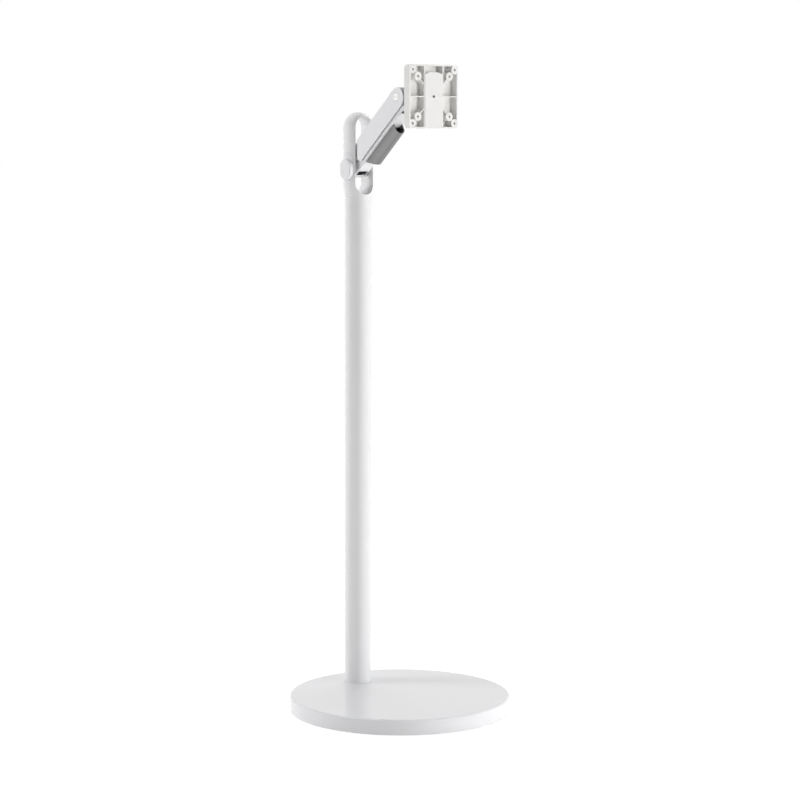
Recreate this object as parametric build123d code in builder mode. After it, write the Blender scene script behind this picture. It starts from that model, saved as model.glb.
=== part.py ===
from build123d import *
import os
from math import atan2, cos, degrees, hypot, radians, sin, sqrt

# Floor stand for a display: a weighted round base, a tall pole near its rear edge, a loop head,
# a parallel arm with a gas spring, and a head that swivels, tilts and turns a ribbed display plate.
# Millimetres. X runs to the right, -Y to the front and Z up.
# The origin is on the floor, under the middle of the base.

# Base
base_diameter = 430
base_height = 32
base_edge_radius = 4
cover_wall = 3
cover_floor_gap = 2.5
rib_width = 2
rib_count = 16
rib_inner_radius = 46
ring_rib_radius = 118
rib_clearance = 1
ballast_thickness = 12
ballast_side_gap = 1
ballast_edge = 1
foot_height = 4
foot_diameter = 24
foot_recess = 1
foot_recess_gap = 0.2
foot_edge = 0.8
foot_count = 8
foot_inset = 30
cover_screw_count = 8
cover_screw_inset = 19
cover_screw_diameter = 4
cover_screw_head_diameter = 8
cover_screw_head_height = 3
cover_screw_grip = 9
cover_boss_diameter = 10
screw_hole_gap = 0.25
head_recess_gap = 0.5
head_recess_depth = 1.4

# Pole and its flange
pole_edge_inset = 77
pole_diameter = 52
pole_wall = 2
pole_top_height = 1001
pole_hole_gap = 0.3
flange_diameter = 110
flange_thickness = 8
flange_edge = 1
flange_cover_gap = 5
spigot_height = 60
spigot_gap = 0.05
spigot_bore_diameter = 30
spigot_lead = 1.5
weld_leg = 4
flange_bolt_spacing = 46
flange_bolt_diameter = 8
flange_bolt_head_diameter = 13
flange_bolt_head_height = 6
flange_bolt_grip = 7

# Loop head
yoke_diameter = 58.5
yoke_rise = 163
yoke_neck_height = 18
yoke_seam_step = 0.8
yoke_seam_edge = 0.5
yoke_slot_width = 42
yoke_slot_rise = 3
yoke_slot_edge = 0.5
head_spigot_height = 60
head_screw_drop = 23
head_screw_diameter = 5
head_screw_head_diameter = 9
head_screw_head_height = 2.5
head_screw_seat = 0.6
head_screw_length = 12
head_screw_angle = 20

# Pivots of the arm, in the pose of the photograph
upper_pivot_rise = 69
link_spacing = 22
arm_length = 190
rest_lift = 40
axle_diameter = 8
running_gap = 0.05
axial_gap = 0.1
axle_head_diameter = 12
axle_head_height = 2.2
axle_seat = 25
head_bore_gap = 0.2
cap_half_width = 16.5
cap_pocket = 0.8
cap_proud = 0.4
cap_button_reach = 33.4
cap_button_height = 42
cap_button_edge = 2.5
cap_fit = 0.15

# Upper arm
cover_half_width = 19
arm_cover_wall = 2
cover_top = 17.5
cover_bottom = -21.5
cover_rear = 20
cover_rear_top_radius = 8
cover_rear_bottom_radius = 9.4
cover_edge = 1.2
link_nest_gap = 0.25
upper_link_wall = 1.5
upper_eye_radius = 9
upper_link_shoulder = 34
upper_link_nose = 12
bush_wall = 1.5
bush_flange_radius = 7
slot_side_gap = 0.3
pin_cap_radius = 7.5
pin_cap_height = 3.2
pin_cap_gap = 0.7
pin_cap_edge = 0.8
pin_socket = 5
pin_socket_depth = 1.8

# Lower arm
lower_half_width = 15
lower_link_wall = 1.5
lower_floor_wall = 1.6
lower_floor_depth = 10.9
lower_side_height = 7
lower_rear_lip = 5
lower_front_lip = 17
lower_front_corner = 3
lower_bend_radius = 2.5
lower_eye_radius = 8.5
window_width = 24
window_corner = 1.5
rear_window_start = -1
rear_window_length = 15.5
front_window_inset = 3
front_window_length = 11
duct_width = 22
duct_depth = 20.7
duct_wall = 1.5
duct_start = 43.6
duct_end_inset = 33
duct_start_slant = 16.7
duct_end_slant = 4
duct_tab_length = 9
duct_tab_inset = 14
duct_screw_diameter = 3
duct_screw_head_diameter = 5.5
duct_screw_head_height = 1.6

# Gas spring
spring_anchor_inset = 40
anchor_pin_diameter = 6
open_pivot_gap = 3
spring_eye_radius = 8.6
spring_eye_width = 14
rod_diameter = 8
rod_eye_radius = 7
rod_eye_width = 12
rod_spacer_radius = 6
cylinder_diameter = 18
cylinder_wall = 1.5
cylinder_start = 58
cylinder_end_gap = 11
cylinder_end_wall = 4
rod_guide_length = 8
piston_gap = 0.1
piston_place = 80
piston_length = 8

# Knuckle, swivel, tilt and turn
knuckle_half_width = 13
knuckle_head_radius = 18
knuckle_tail_radius = 8
knuckle_head_gap = 0.6
knuckle_edge = 1
knuckle_bush_length = 9
knuckle_flange_radius = 6.5
neck_width = 18
swivel_reach = 34
barrel_radius = 10.5
barrel_height = 23.2
swivel_pin_diameter = 8
swivel_pin_head_diameter = 13
swivel_pin_head_height = 2.5
swivel_pin_head_edge = 0.8
swivel_washer = 0.8
lug_thickness = 3.8
lug_radius = 11
bridge_gap = 0.8
bridge_thickness = 4.2
tilt_reach = 24.5
tilt_barrel_radius = 8
tilt_barrel_width = 24
tilt_washer = 1
tilt_lug_thickness = 3.8
tilt_lug_radius = 8.5
tilt_pin_diameter = 6
tilt_head_diameter = 12
tilt_head_height = 3
tilt_disc_radius = 18
tilt_disc_thickness = 3.3
turn_washer = 1
turn_washer_radius = 16
plate_reach = 15.5
pad_height = 1.9
pad_radius = 20
turn_shoulder_diameter = 8
turn_thread_diameter = 6
turn_thread_length = 6
turn_head_diameter = 15
turn_head_height = 4
turn_head_washer = 0.6
turn_head_washer_radius = 10

# Display plate
plate_side_margin = 8
plate_end_margin = 9.5
plate_depth = 17
plate_corner = 8
plate_wall = 3
plate_floor = 2.5
plate_rim_edge = 0.6
inner_pattern = 75
outer_pattern = 100
inner_boss_diameter = 16.5
outer_boss_diameter = 16
plate_hole_diameter = 4.6
plate_rib = 2
plate_rib_drop = 0.8
tongue_width = 41.7
tongue_side_gap = 0.25
tongue_top_gap = 14
tongue_arch_rise = 4.5
tongue_front_wall = 3
tongue_side_wall = 2.2
tongue_hole_diameter = 5
tongue_hole_wall = 1
tongue_hole_relief = 14
tongue_boss_diameter = 7
tongue_screw_spacing_x = 27
tongue_screw_spacing_y = 66
tongue_screw_diameter = 3
tongue_screw_head_diameter = 5.6
tongue_screw_head_height = 1.6
tongue_screw_grip = 8

# Sizes that follow from the ones above
base_radius = base_diameter / 2
pole_offset = base_radius - pole_edge_inset
pole_radius = pole_diameter / 2
pole_bore_radius = pole_radius - pole_wall
cover_underside = base_height - cover_wall
cover_inner_radius = base_radius - cover_wall
ballast_top = foot_height + ballast_thickness
ballast_radius = cover_inner_radius - ballast_side_gap
flange_top = ballast_top + flange_thickness
foot_ring_radius = base_radius - foot_inset
cover_screw_radius = base_radius - cover_screw_inset
cover_screw_angle = 180 / cover_screw_count
yoke_radius = yoke_diameter / 2
slot_half_width = yoke_slot_width / 2
yoke_top_height = pole_top_height + yoke_rise
yoke_slot_bottom = pole_top_height + yoke_slot_rise
head_screw_height = pole_top_height - head_screw_drop
upper_pivot_height = pole_top_height + upper_pivot_rise
arch_height = yoke_top_height - yoke_radius
axle_radius = axle_diameter / 2
bush_radius = axle_radius + bush_wall
lower_pivot_height = upper_pivot_height - link_spacing
lift = radians(rest_lift)
spring_anchor = arm_length - spring_anchor_inset
front_window_start = arm_length - front_window_inset
duct_end = arm_length - duct_end_inset
front_pivot_forward = arm_length * cos(lift)
front_pivot_height = upper_pivot_height + arm_length * sin(lift)
plate_centre_height = front_pivot_height
swivel_forward = front_pivot_forward + swivel_reach
tilt_forward = swivel_forward + tilt_reach
plate_back_forward = tilt_forward + plate_reach
cover_inner_half = cover_half_width - arm_cover_wall
upper_link_half = cover_inner_half - link_nest_gap
upper_link_inner = upper_link_half - upper_link_wall
upper_link_top = cover_top - arm_cover_wall - link_nest_gap
lower_inner_half = lower_half_width - lower_link_wall
plate_width = outer_pattern + 2 * plate_side_margin
plate_height = outer_pattern + 2 * plate_end_margin
tongue_arch_top = plate_height / 2 - tongue_top_gap


def side_plane(forward, height):
    """Plane of a side outline: local x runs forward, local y up, and the normal points left."""
    return Plane(origin=(0, pole_offset - forward, height), x_dir=(0, -1, 0), z_dir=(-1, 0, 0))


def front_plane(forward, height):
    """Plane of a front outline: local x runs right, local y up, and the normal points forward."""
    return Plane(origin=(0, pole_offset - forward, height), x_dir=(1, 0, 0), z_dir=(0, -1, 0))


def level_plane(forward, height):
    """Horizontal plane above a point on the middle plane, with its normal up."""
    return Plane(origin=(0, pole_offset - forward, height), x_dir=(1, 0, 0), z_dir=(0, 0, 1))


def sloped_side_plane(forward, height, angle):
    """Side plane whose local x runs forward and up at an angle to the floor."""
    slope = radians(angle)
    return Plane(origin=(0, pole_offset - forward, height), x_dir=(0, -cos(slope), sin(slope)),
                 z_dir=(-1, 0, 0))


def cross_plane(forward, height, angle):
    """Plane across a sloped line: local x runs right, and the normal runs along the line."""
    slope = radians(angle)
    return Plane(origin=(0, pole_offset - forward, height), x_dir=(1, 0, 0),
                 z_dir=(0, -cos(slope), sin(slope)))


def write_piece(piece, name):
    """Label a finished piece and write it to its own file."""
    piece.part.label = name
    export_step(piece.part, f"parts/{name}.step")


def round_pair(plane, outer_radius, inner_radius, start, end):
    """Two equal rings, mirrored left and right, each from start to end away from the middle."""
    with BuildPart() as pair:
        for side in (1, -1):
            with BuildSketch(plane.offset(side * start)):
                Circle(outer_radius)
                if inner_radius > 0:
                    Circle(inner_radius, mode=Mode.SUBTRACT)
            extrude(amount=side * (end - start))
    return pair


def flanged_pair(plane, bore_radius, sleeve_radius, flange_radius, sleeve_start, sleeve_end, flange_end):
    """Two flanged bushes, mirrored left and right, with the flange on the far side of each sleeve."""
    with BuildPart() as pair:
        for side in (1, -1):
            with BuildSketch(plane.offset(side * sleeve_start)):
                Circle(sleeve_radius)
                Circle(bore_radius, mode=Mode.SUBTRACT)
            extrude(amount=side * (sleeve_end - sleeve_start))
            with BuildSketch(plane.offset(side * sleeve_end)):
                Circle(flange_radius)
                Circle(bore_radius, mode=Mode.SUBTRACT)
            extrude(amount=side * (flange_end - sleeve_end))
    return pair


os.makedirs("parts", exist_ok=True)

# Base cover: a moulded dish with a rounded top edge, radial ribs, a ring rib and screw bosses
with BuildPart() as base_cover:
    with BuildSketch(Plane.XZ) as dish_profile:
        with BuildLine():
            Polyline((0, base_height), (base_radius, base_height), (base_radius, cover_floor_gap),
                     (cover_inner_radius, cover_floor_gap), (cover_inner_radius, cover_underside),
                     (0, cover_underside), close=True)
        make_face()
        fillet(dish_profile.vertices().group_by(Axis.X)[-1].sort_by(Axis.Y)[-1], base_edge_radius)
        fillet(dish_profile.vertices().filter_by(
            lambda v: abs(v.X - cover_inner_radius) < 0.01).sort_by(Axis.Y)[-1],
            base_edge_radius - cover_wall / 2)
    revolve(axis=Axis.Z)
    rib_outer_radius = cover_inner_radius + cover_wall / 2
    pole_clear_radius = flange_diameter / 2 + flange_cover_gap
    with BuildSketch(Plane.XY.offset(ballast_top + rib_clearance)):
        Circle(ring_rib_radius + rib_width / 2)
        Circle(ring_rib_radius - rib_width / 2, mode=Mode.SUBTRACT)
        with PolarLocations((rib_inner_radius + rib_outer_radius) / 2, rib_count):
            Rectangle(rib_outer_radius - rib_inner_radius, rib_width)
        Circle(rib_inner_radius + rib_width)
        Circle(rib_inner_radius, mode=Mode.SUBTRACT)
        with Locations((0, pole_offset)):
            Circle(pole_clear_radius + rib_width)
            Circle(pole_clear_radius, mode=Mode.SUBTRACT)
    extrude(amount=cover_underside - ballast_top - rib_clearance)
    with BuildSketch(Plane.XY.offset(ballast_top)):
        with PolarLocations(cover_screw_radius, cover_screw_count, cover_screw_angle):
            Circle(cover_boss_diameter / 2)
    extrude(amount=cover_underside - ballast_top)
    with BuildSketch(Plane.XY.offset(ballast_top)):
        with PolarLocations(cover_screw_radius, cover_screw_count, cover_screw_angle):
            Circle(cover_screw_diameter / 2)
    extrude(amount=cover_screw_grip, mode=Mode.SUBTRACT)
    with BuildSketch(Plane.XY.offset(cover_underside)):
        with Locations((0, pole_offset)):
            Circle(pole_radius + pole_hole_gap)
    extrude(amount=cover_wall, mode=Mode.SUBTRACT)
write_piece(base_cover, "base_cover")

# Ballast plate: a thick steel disc that carries the pole, with recessed screw heads and foot seats
underside = Plane(origin=(0, 0, foot_height), x_dir=(1, 0, 0), z_dir=(0, 0, -1))
pole_underside = Plane(origin=(0, pole_offset, foot_height), x_dir=(1, 0, 0), z_dir=(0, 0, -1))
with BuildPart() as ballast_plate:
    with BuildSketch(Plane.XY.offset(foot_height)):
        Circle(ballast_radius)
    extrude(amount=ballast_thickness)
    chamfer(ballast_plate.edges().filter_by(GeomType.CIRCLE), ballast_edge)
    with Locations(underside):
        with PolarLocations(cover_screw_radius, cover_screw_count, cover_screw_angle):
            CounterBoreHole(cover_screw_diameter / 2 + screw_hole_gap,
                            cover_screw_head_diameter / 2 + head_recess_gap,
                            cover_screw_head_height + head_recess_depth)
    with Locations(pole_underside):
        with GridLocations(flange_bolt_spacing, flange_bolt_spacing, 2, 2):
            CounterBoreHole(flange_bolt_diameter / 2 + screw_hole_gap,
                            flange_bolt_head_diameter / 2 + head_recess_gap,
                            flange_bolt_head_height + foot_recess)
    with BuildSketch(Plane.XY.offset(foot_height)):
        with PolarLocations(foot_ring_radius, foot_count):
            Circle(foot_diameter / 2 + foot_recess_gap)
    extrude(amount=foot_recess, mode=Mode.SUBTRACT)
write_piece(ballast_plate, "ballast_plate")

# Rubber feet: eight pads seated in the ballast plate
with BuildPart() as rubber_feet:
    with BuildSketch():
        with PolarLocations(foot_ring_radius, foot_count):
            Circle(foot_diameter / 2)
    extrude(amount=foot_height + foot_recess)
    chamfer(rubber_feet.edges().group_by(Axis.Z)[0], foot_edge)
write_piece(rubber_feet, "rubber_feet")

# Cover screws: they hold the cover to the ballast plate from below
with BuildPart() as cover_screws:
    with BuildSketch(Plane.XY.offset(foot_height + head_recess_depth)):
        with PolarLocations(cover_screw_radius, cover_screw_count, cover_screw_angle):
            Circle(cover_screw_head_diameter / 2)
    extrude(amount=cover_screw_head_height)
    with BuildSketch(Plane.XY.offset(foot_height + head_recess_depth + cover_screw_head_height)):
        with PolarLocations(cover_screw_radius, cover_screw_count, cover_screw_angle):
            Circle(cover_screw_diameter / 2)
    extrude(amount=ballast_thickness - head_recess_depth - cover_screw_head_height
            + cover_screw_grip - rib_clearance)
write_piece(cover_screws, "cover_screws")

# Pole flange: a turned disc and spigot, with the weld bead that joins it to the pole
pole_axis = Axis((0, pole_offset, 0), (0, 0, 1))
with BuildPart() as pole_flange:
    with BuildSketch(Plane(origin=(0, pole_offset, 0), x_dir=(1, 0, 0), z_dir=(0, -1, 0))) as flange_profile:
        with BuildLine():
            Polyline((spigot_bore_diameter / 2, ballast_top), (flange_diameter / 2, ballast_top),
                     (flange_diameter / 2, flange_top), (pole_radius + weld_leg, flange_top),
                     (pole_radius, flange_top + weld_leg), (pole_radius, flange_top),
                     (pole_bore_radius - spigot_gap, flange_top),
                     (pole_bore_radius - spigot_gap, flange_top + spigot_height),
                     (spigot_bore_diameter / 2, flange_top + spigot_height), close=True)
        make_face()
        chamfer(flange_profile.vertices().group_by(Axis.X)[-1].sort_by(Axis.Y)[-1], flange_edge)
        chamfer(flange_profile.vertices().group_by(Axis.Y)[-1].sort_by(Axis.X)[-1], spigot_lead)
    revolve(axis=pole_axis)
    with Locations(level_plane(0, flange_top)):
        with GridLocations(flange_bolt_spacing, flange_bolt_spacing, 2, 2):
            Hole(flange_bolt_diameter / 2, depth=flange_thickness)
write_piece(pole_flange, "pole_flange")

# Flange bolts: four bolts up through the ballast plate into the flange
bolt_head_bottom = foot_height + foot_recess
bolt_head_top = bolt_head_bottom + flange_bolt_head_height
with BuildPart() as flange_bolts:
    with BuildSketch(level_plane(0, bolt_head_bottom)):
        with GridLocations(flange_bolt_spacing, flange_bolt_spacing, 2, 2):
            Circle(flange_bolt_head_diameter / 2)
            RegularPolygon(flange_bolt_diameter / 2, 6, major_radius=False, mode=Mode.SUBTRACT)
    extrude(amount=flange_bolt_head_height / 2)
    with BuildSketch(level_plane(0, bolt_head_bottom + flange_bolt_head_height / 2)):
        with GridLocations(flange_bolt_spacing, flange_bolt_spacing, 2, 2):
            Circle(flange_bolt_head_diameter / 2)
    extrude(amount=flange_bolt_head_height / 2)
    with BuildSketch(level_plane(0, bolt_head_top)):
        with GridLocations(flange_bolt_spacing, flange_bolt_spacing, 2, 2):
            Circle(flange_bolt_diameter / 2)
    extrude(amount=ballast_top - bolt_head_top + flange_bolt_grip)
write_piece(flange_bolts, "flange_bolts")

# Pole: a round steel tube that stands on the flange
screw_seat_radius = pole_radius - head_screw_seat


def head_screw_plane(side, radius):
    """Plane on the rear of the pole, square to a fixing screw, at a distance from the pole's axis."""
    turn = radians(head_screw_angle)
    outward = Vector(side * sin(turn), cos(turn), 0)
    middle = Vector(0, pole_offset, head_screw_height) + outward * radius
    return Plane(origin=middle, x_dir=(0, 0, 1), z_dir=outward)


with BuildPart() as pole:
    with BuildSketch(level_plane(0, flange_top)):
        Circle(pole_radius)
        Circle(pole_bore_radius, mode=Mode.SUBTRACT)
    extrude(amount=pole_top_height - flange_top)
    for side in (1, -1):
        with BuildSketch(head_screw_plane(side, screw_seat_radius)):
            Circle(head_screw_head_diameter / 2 + screw_hole_gap)
        extrude(amount=pole_wall, mode=Mode.SUBTRACT)
        with BuildSketch(head_screw_plane(side, screw_seat_radius)):
            Circle(head_screw_diameter / 2 + screw_hole_gap)
        extrude(amount=-pole_wall, mode=Mode.SUBTRACT)
write_piece(pole, "pole")

# Head yoke: a casting with a spigot, a neck and a domed loop with a slot from front to back
slot_length = arch_height + slot_half_width - yoke_slot_bottom
spigot_radius = pole_bore_radius - spigot_gap
seam_radius = pole_radius + yoke_seam_step
cap_height = link_spacing + 2 * cap_half_width
cap_centre_height = upper_pivot_height - link_spacing / 2
button_centre_height = lower_pivot_height - cap_half_width + cap_button_height / 2
cap_floor_radius = yoke_radius - cap_pocket


def cap_band(side, outer_radius, gap):
    """Oval piece of the loop's wall on one side, from the pocket floor out to a radius."""
    with BuildPart() as band:
        with BuildSketch(side_plane(0, cap_centre_height)):
            SlotOverall(cap_height - 2 * gap, 2 * (cap_half_width - gap), rotation=90)
        extrude(amount=side * outer_radius)
        with BuildSketch(level_plane(0, 0)):
            Circle(outer_radius)
            Circle(cap_floor_radius, mode=Mode.SUBTRACT)
        extrude(amount=yoke_top_height, mode=Mode.INTERSECT)
    return band


with BuildPart() as head_yoke:
    with BuildSketch(front_plane(0, 0)) as yoke_profile:
        with BuildLine():
            Polyline((0, yoke_top_height), (0, pole_top_height), (seam_radius, pole_top_height),
                     (yoke_radius, pole_top_height + yoke_neck_height), (yoke_radius, arch_height))
            CenterArc((0, arch_height), yoke_radius, 0, 90)
        make_face()
        fillet(yoke_profile.vertices().filter_by(
            lambda v: abs(v.Y - pole_top_height - yoke_neck_height) < 0.01), yoke_neck_height)
        fillet(yoke_profile.vertices().filter_by(
            lambda v: abs(v.X - seam_radius) < 0.01), yoke_seam_edge)
    revolve(axis=pole_axis)
    with BuildSketch(front_plane(0, yoke_slot_bottom + slot_length / 2)):
        SlotOverall(slot_length, yoke_slot_width, rotation=90)
    extrude(amount=yoke_diameter, both=True, mode=Mode.SUBTRACT)
    rim_edges = head_yoke.edges().filter_by(
        lambda e: e.center().Z > yoke_slot_bottom and abs(e.center().Y - pole_offset) > 1)
    fillet(rim_edges, yoke_slot_edge)
    with BuildSketch(level_plane(0, pole_top_height)):
        Circle(spigot_radius)
        Circle(spigot_bore_diameter / 2, mode=Mode.SUBTRACT)
    extrude(amount=-head_spigot_height)
    for side in (1, -1):
        with BuildSketch(head_screw_plane(side, spigot_radius)):
            Circle(head_screw_diameter / 2)
        extrude(amount=-head_screw_length, mode=Mode.SUBTRACT)
        add(cap_band(side, yoke_diameter, 0), mode=Mode.SUBTRACT)
        for height in (upper_pivot_height, lower_pivot_height):
            with BuildSketch(side_plane(0, height).offset(side * axle_seat)):
                Circle(axle_head_diameter / 2 + head_bore_gap)
            extrude(amount=side * yoke_radius, mode=Mode.SUBTRACT)
            with BuildSketch(side_plane(0, height)):
                Circle(axle_radius)
            extrude(amount=side * yoke_radius, mode=Mode.SUBTRACT)
write_piece(head_yoke, "head_yoke")

# Head screws: two screws at the rear that hold the head in the pole
with BuildPart() as head_screws:
    for side in (1, -1):
        with BuildSketch(head_screw_plane(side, screw_seat_radius)):
            Circle(head_screw_head_diameter / 2)
            RegularPolygon(head_screw_diameter / 4, 6, mode=Mode.SUBTRACT)
        extrude(amount=head_screw_head_height)
        with BuildSketch(head_screw_plane(side, screw_seat_radius)):
            Circle(head_screw_diameter / 2)
        extrude(amount=-head_screw_length)
write_piece(head_screws, "head_screws")

# Pivot caps: oval covers that follow the loop's wall, the left one with a raised button
with BuildPart() as pivot_cap_right:
    add(cap_band(-1, yoke_radius + cap_proud, cap_fit))
write_piece(pivot_cap_right, "pivot_cap_right")

with BuildPart() as pivot_cap_left:
    with BuildSketch(side_plane(0, button_centre_height)):
        SlotOverall(cap_button_height - 2 * cap_fit, 2 * (cap_half_width - cap_fit), rotation=90)
    extrude(amount=cap_button_reach)
    fillet(pivot_cap_left.faces().sort_by(Axis.X)[0].edges(), cap_button_edge)
    with BuildSketch(level_plane(0, 0)):
        Circle(cap_floor_radius)
    extrude(amount=yoke_top_height, mode=Mode.SUBTRACT)
    add(cap_band(1, yoke_radius + cap_proud, cap_fit))
write_piece(pivot_cap_left, "pivot_cap_left")


def headed_axle(height):
    """Pin across both walls of the loop, with a head on the left and a stepped end on the right."""
    with BuildPart() as axle:
        with BuildSketch(side_plane(0, height).offset(-axle_seat - axle_head_height)):
            Circle(axle_radius)
        extrude(amount=2 * axle_seat + axle_head_height)
        with BuildSketch(side_plane(0, height).offset(axle_seat)):
            Circle(axle_head_diameter / 2)
        extrude(amount=axle_head_height)
    return axle


upper_rear_axle = headed_axle(upper_pivot_height)
write_piece(upper_rear_axle, "upper_rear_axle")
lower_rear_axle = headed_axle(lower_pivot_height)
write_piece(lower_rear_axle, "lower_rear_axle")

# Axle nuts: round nuts on the right ends of both rear axles
with BuildPart() as axle_nuts:
    for height in (upper_pivot_height, lower_pivot_height):
        with BuildSketch(side_plane(0, height).offset(-axle_seat)):
            Circle(axle_head_diameter / 2)
            Circle(axle_radius, mode=Mode.SUBTRACT)
        extrude(amount=-axle_head_height)
write_piece(axle_nuts, "axle_nuts")

# Upper arm: a folded steel channel under a moulded cover
upper_plane = sloped_side_plane(0, upper_pivot_height, rest_lift)
lower_plane = sloped_side_plane(0, lower_pivot_height, rest_lift)
cover_middle = (cover_top + cover_bottom) / 2
cover_end_radius = (cover_top - cover_bottom) / 2
cover_rear_top = (cover_rear + cover_top * sin(lift)) / cos(lift)
cover_rear_bottom = (cover_rear + cover_bottom * sin(lift)) / cos(lift)
head_room = knuckle_head_radius + knuckle_head_gap
with BuildPart() as upper_cover:
    with BuildSketch(upper_plane) as cover_outline:
        with BuildLine():
            Polyline((arm_length, cover_bottom), (cover_rear_bottom, cover_bottom),
                     (cover_rear_top, cover_top), (arm_length, cover_top))
            CenterArc((arm_length, cover_middle), cover_end_radius, -90, 180)
        make_face()
        fillet(cover_outline.vertices().sort_by(Axis.X)[0], cover_rear_bottom_radius)
        fillet(cover_outline.vertices().filter_by(
            lambda v: abs(v.X - cover_rear_top) < 0.01), cover_rear_top_radius)
    extrude(amount=cover_half_width, both=True)
    for side_face in (upper_cover.faces().sort_by(Axis.X)[0], upper_cover.faces().sort_by(Axis.X)[-1]):
        fillet(side_face.edges(), cover_edge)
    with BuildSketch(upper_plane):
        with Locations((arm_length / 2, cover_bottom)):
            Rectangle(2 * arm_length, 2 * (cover_top - arm_cover_wall - cover_bottom))
        with Locations((arm_length, 0)):
            Circle(head_room)
    extrude(amount=cover_inner_half, both=True, mode=Mode.SUBTRACT)
    with BuildSketch(upper_plane):
        with Locations((arm_length, 0)):
            Circle(pin_cap_radius + pin_cap_gap)
    extrude(amount=cover_half_width, both=True, mode=Mode.SUBTRACT)
write_piece(upper_cover, "upper_cover")

with BuildPart() as upper_link:
    with BuildSketch(upper_plane):
        Circle(upper_eye_radius)
        with Locations((arm_length, 0)):
            Circle(upper_eye_radius)
        Polygon((0, -upper_eye_radius), (arm_length, -upper_eye_radius), (arm_length, upper_eye_radius),
                (arm_length - upper_link_nose, upper_link_top), (upper_link_shoulder, upper_link_top),
                (0, upper_eye_radius), align=None)
    extrude(amount=upper_link_half, both=True)
    with BuildSketch(upper_plane):
        with Locations((arm_length / 2, 0)):
            Rectangle(2 * arm_length, 2 * (upper_link_top - upper_link_wall))
        with Locations((arm_length, 0)):
            Circle(head_room)
    extrude(amount=upper_link_inner, both=True, mode=Mode.SUBTRACT)
    with BuildSketch(upper_plane):
        Circle(bush_radius)
        with Locations((arm_length, 0)):
            Circle(axle_radius)
        with Locations((spring_anchor, 0)):
            Circle(anchor_pin_diameter / 2)
    extrude(amount=upper_link_half, both=True, mode=Mode.SUBTRACT)
write_piece(upper_link, "upper_link")

# Rear bushes: sleeves in the links' eyes, whose flanges centre both links in the slot
flange_reach = slot_half_width - slot_side_gap
upper_rear_bushes = flanged_pair(side_plane(0, upper_pivot_height), axle_radius + running_gap,
                                 bush_radius, bush_flange_radius, upper_link_inner,
                                 upper_link_half, flange_reach)
write_piece(upper_rear_bushes, "upper_rear_bushes")
lower_rear_bushes = flanged_pair(side_plane(0, lower_pivot_height), axle_radius + running_gap,
                                 bush_radius, bush_flange_radius, lower_inner_half,
                                 lower_half_width, flange_reach)
write_piece(lower_rear_bushes, "lower_rear_bushes")

# Upper front axle, with its head on the left and a round nut on the right, both seen from outside
front_upper_plane = side_plane(front_pivot_forward, front_pivot_height)
front_lower_plane = side_plane(front_pivot_forward, front_pivot_height - link_spacing)
with BuildPart() as upper_front_axle:
    with BuildSketch(front_upper_plane.offset(-upper_link_half)):
        Circle(axle_radius)
    extrude(amount=2 * upper_link_half)
    with BuildSketch(front_upper_plane.offset(upper_link_half)):
        Circle(pin_cap_radius)
    extrude(amount=pin_cap_height)
    chamfer(upper_front_axle.edges().sort_by(Axis.X)[0], pin_cap_edge)
    with BuildSketch(front_upper_plane.offset(upper_link_half + pin_cap_height)):
        RegularPolygon(pin_socket / 2, 6, major_radius=False)
    extrude(amount=-pin_socket_depth, mode=Mode.SUBTRACT)
write_piece(upper_front_axle, "upper_front_axle")

with BuildPart() as front_axle_nut:
    with BuildSketch(front_upper_plane.offset(-upper_link_half)):
        Circle(pin_cap_radius)
    extrude(amount=-pin_cap_height)
    chamfer(front_axle_nut.edges().sort_by(Axis.X)[-1], pin_cap_edge)
write_piece(front_axle_nut, "front_axle_nut")

# Lower arm: a folded channel, open at the top, with a cable window at each end of its floor
tab_places = (duct_start + duct_tab_inset, duct_end - duct_tab_inset)
floor_plane = cross_plane(0, lower_pivot_height, rest_lift + 90).offset(-lower_floor_depth)
arm_direction = Axis((0, 0, 0), (0, -cos(lift), sin(lift)))
arm_normal = Axis((0, 0, 0), (0, sin(lift), cos(lift)))
with BuildPart() as lower_link:
    with BuildSketch(lower_plane) as lower_outline:
        Polygon((-lower_rear_lip, -lower_floor_depth), (arm_length + lower_front_lip, -lower_floor_depth),
                (arm_length + lower_front_lip, -lower_front_corner),
                (arm_length + axle_radius, lower_side_height), (0, lower_side_height),
                (-lower_eye_radius, 0), align=None)
        Circle(lower_eye_radius)
        fillet(lower_outline.vertices().group_by(Axis.X)[-1], lower_front_corner)
    extrude(amount=lower_half_width, both=True)
    fillet(lower_link.edges().filter_by(arm_direction).group_by(arm_normal)[0], lower_bend_radius)
    with BuildSketch(cross_plane(-arm_length / 2 * cos(lift), lower_pivot_height - arm_length / 2 * sin(lift),
                                 rest_lift)) as channel_room:
        with Locations((0, lower_link_wall)):
            Rectangle(2 * lower_inner_half, 2 * (lower_floor_depth - lower_floor_wall + lower_link_wall))
        fillet(channel_room.vertices().group_by(Axis.Y)[0], lower_bend_radius - lower_link_wall)
    extrude(amount=2 * arm_length, mode=Mode.SUBTRACT)
    with BuildSketch(lower_plane):
        Circle(bush_radius)
        with Locations((arm_length, 0)):
            Circle(axle_radius)
    extrude(amount=lower_half_width, both=True, mode=Mode.SUBTRACT)
    with BuildSketch(floor_plane):
        with Locations((0, -rear_window_start - rear_window_length / 2)):
            RectangleRounded(window_width, rear_window_length, window_corner)
        with Locations((0, -front_window_start - front_window_length / 2)):
            RectangleRounded(window_width, front_window_length, window_corner)
        with Locations(*[(0, -place) for place in tab_places]):
            Circle(duct_screw_diameter / 2)
    extrude(amount=lower_floor_wall, mode=Mode.SUBTRACT)
write_piece(lower_link, "lower_link")

with BuildPart() as lower_front_axle:
    with BuildSketch(front_lower_plane):
        Circle(axle_radius)
    extrude(amount=lower_half_width, both=True)
write_piece(lower_front_axle, "lower_front_axle")

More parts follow.
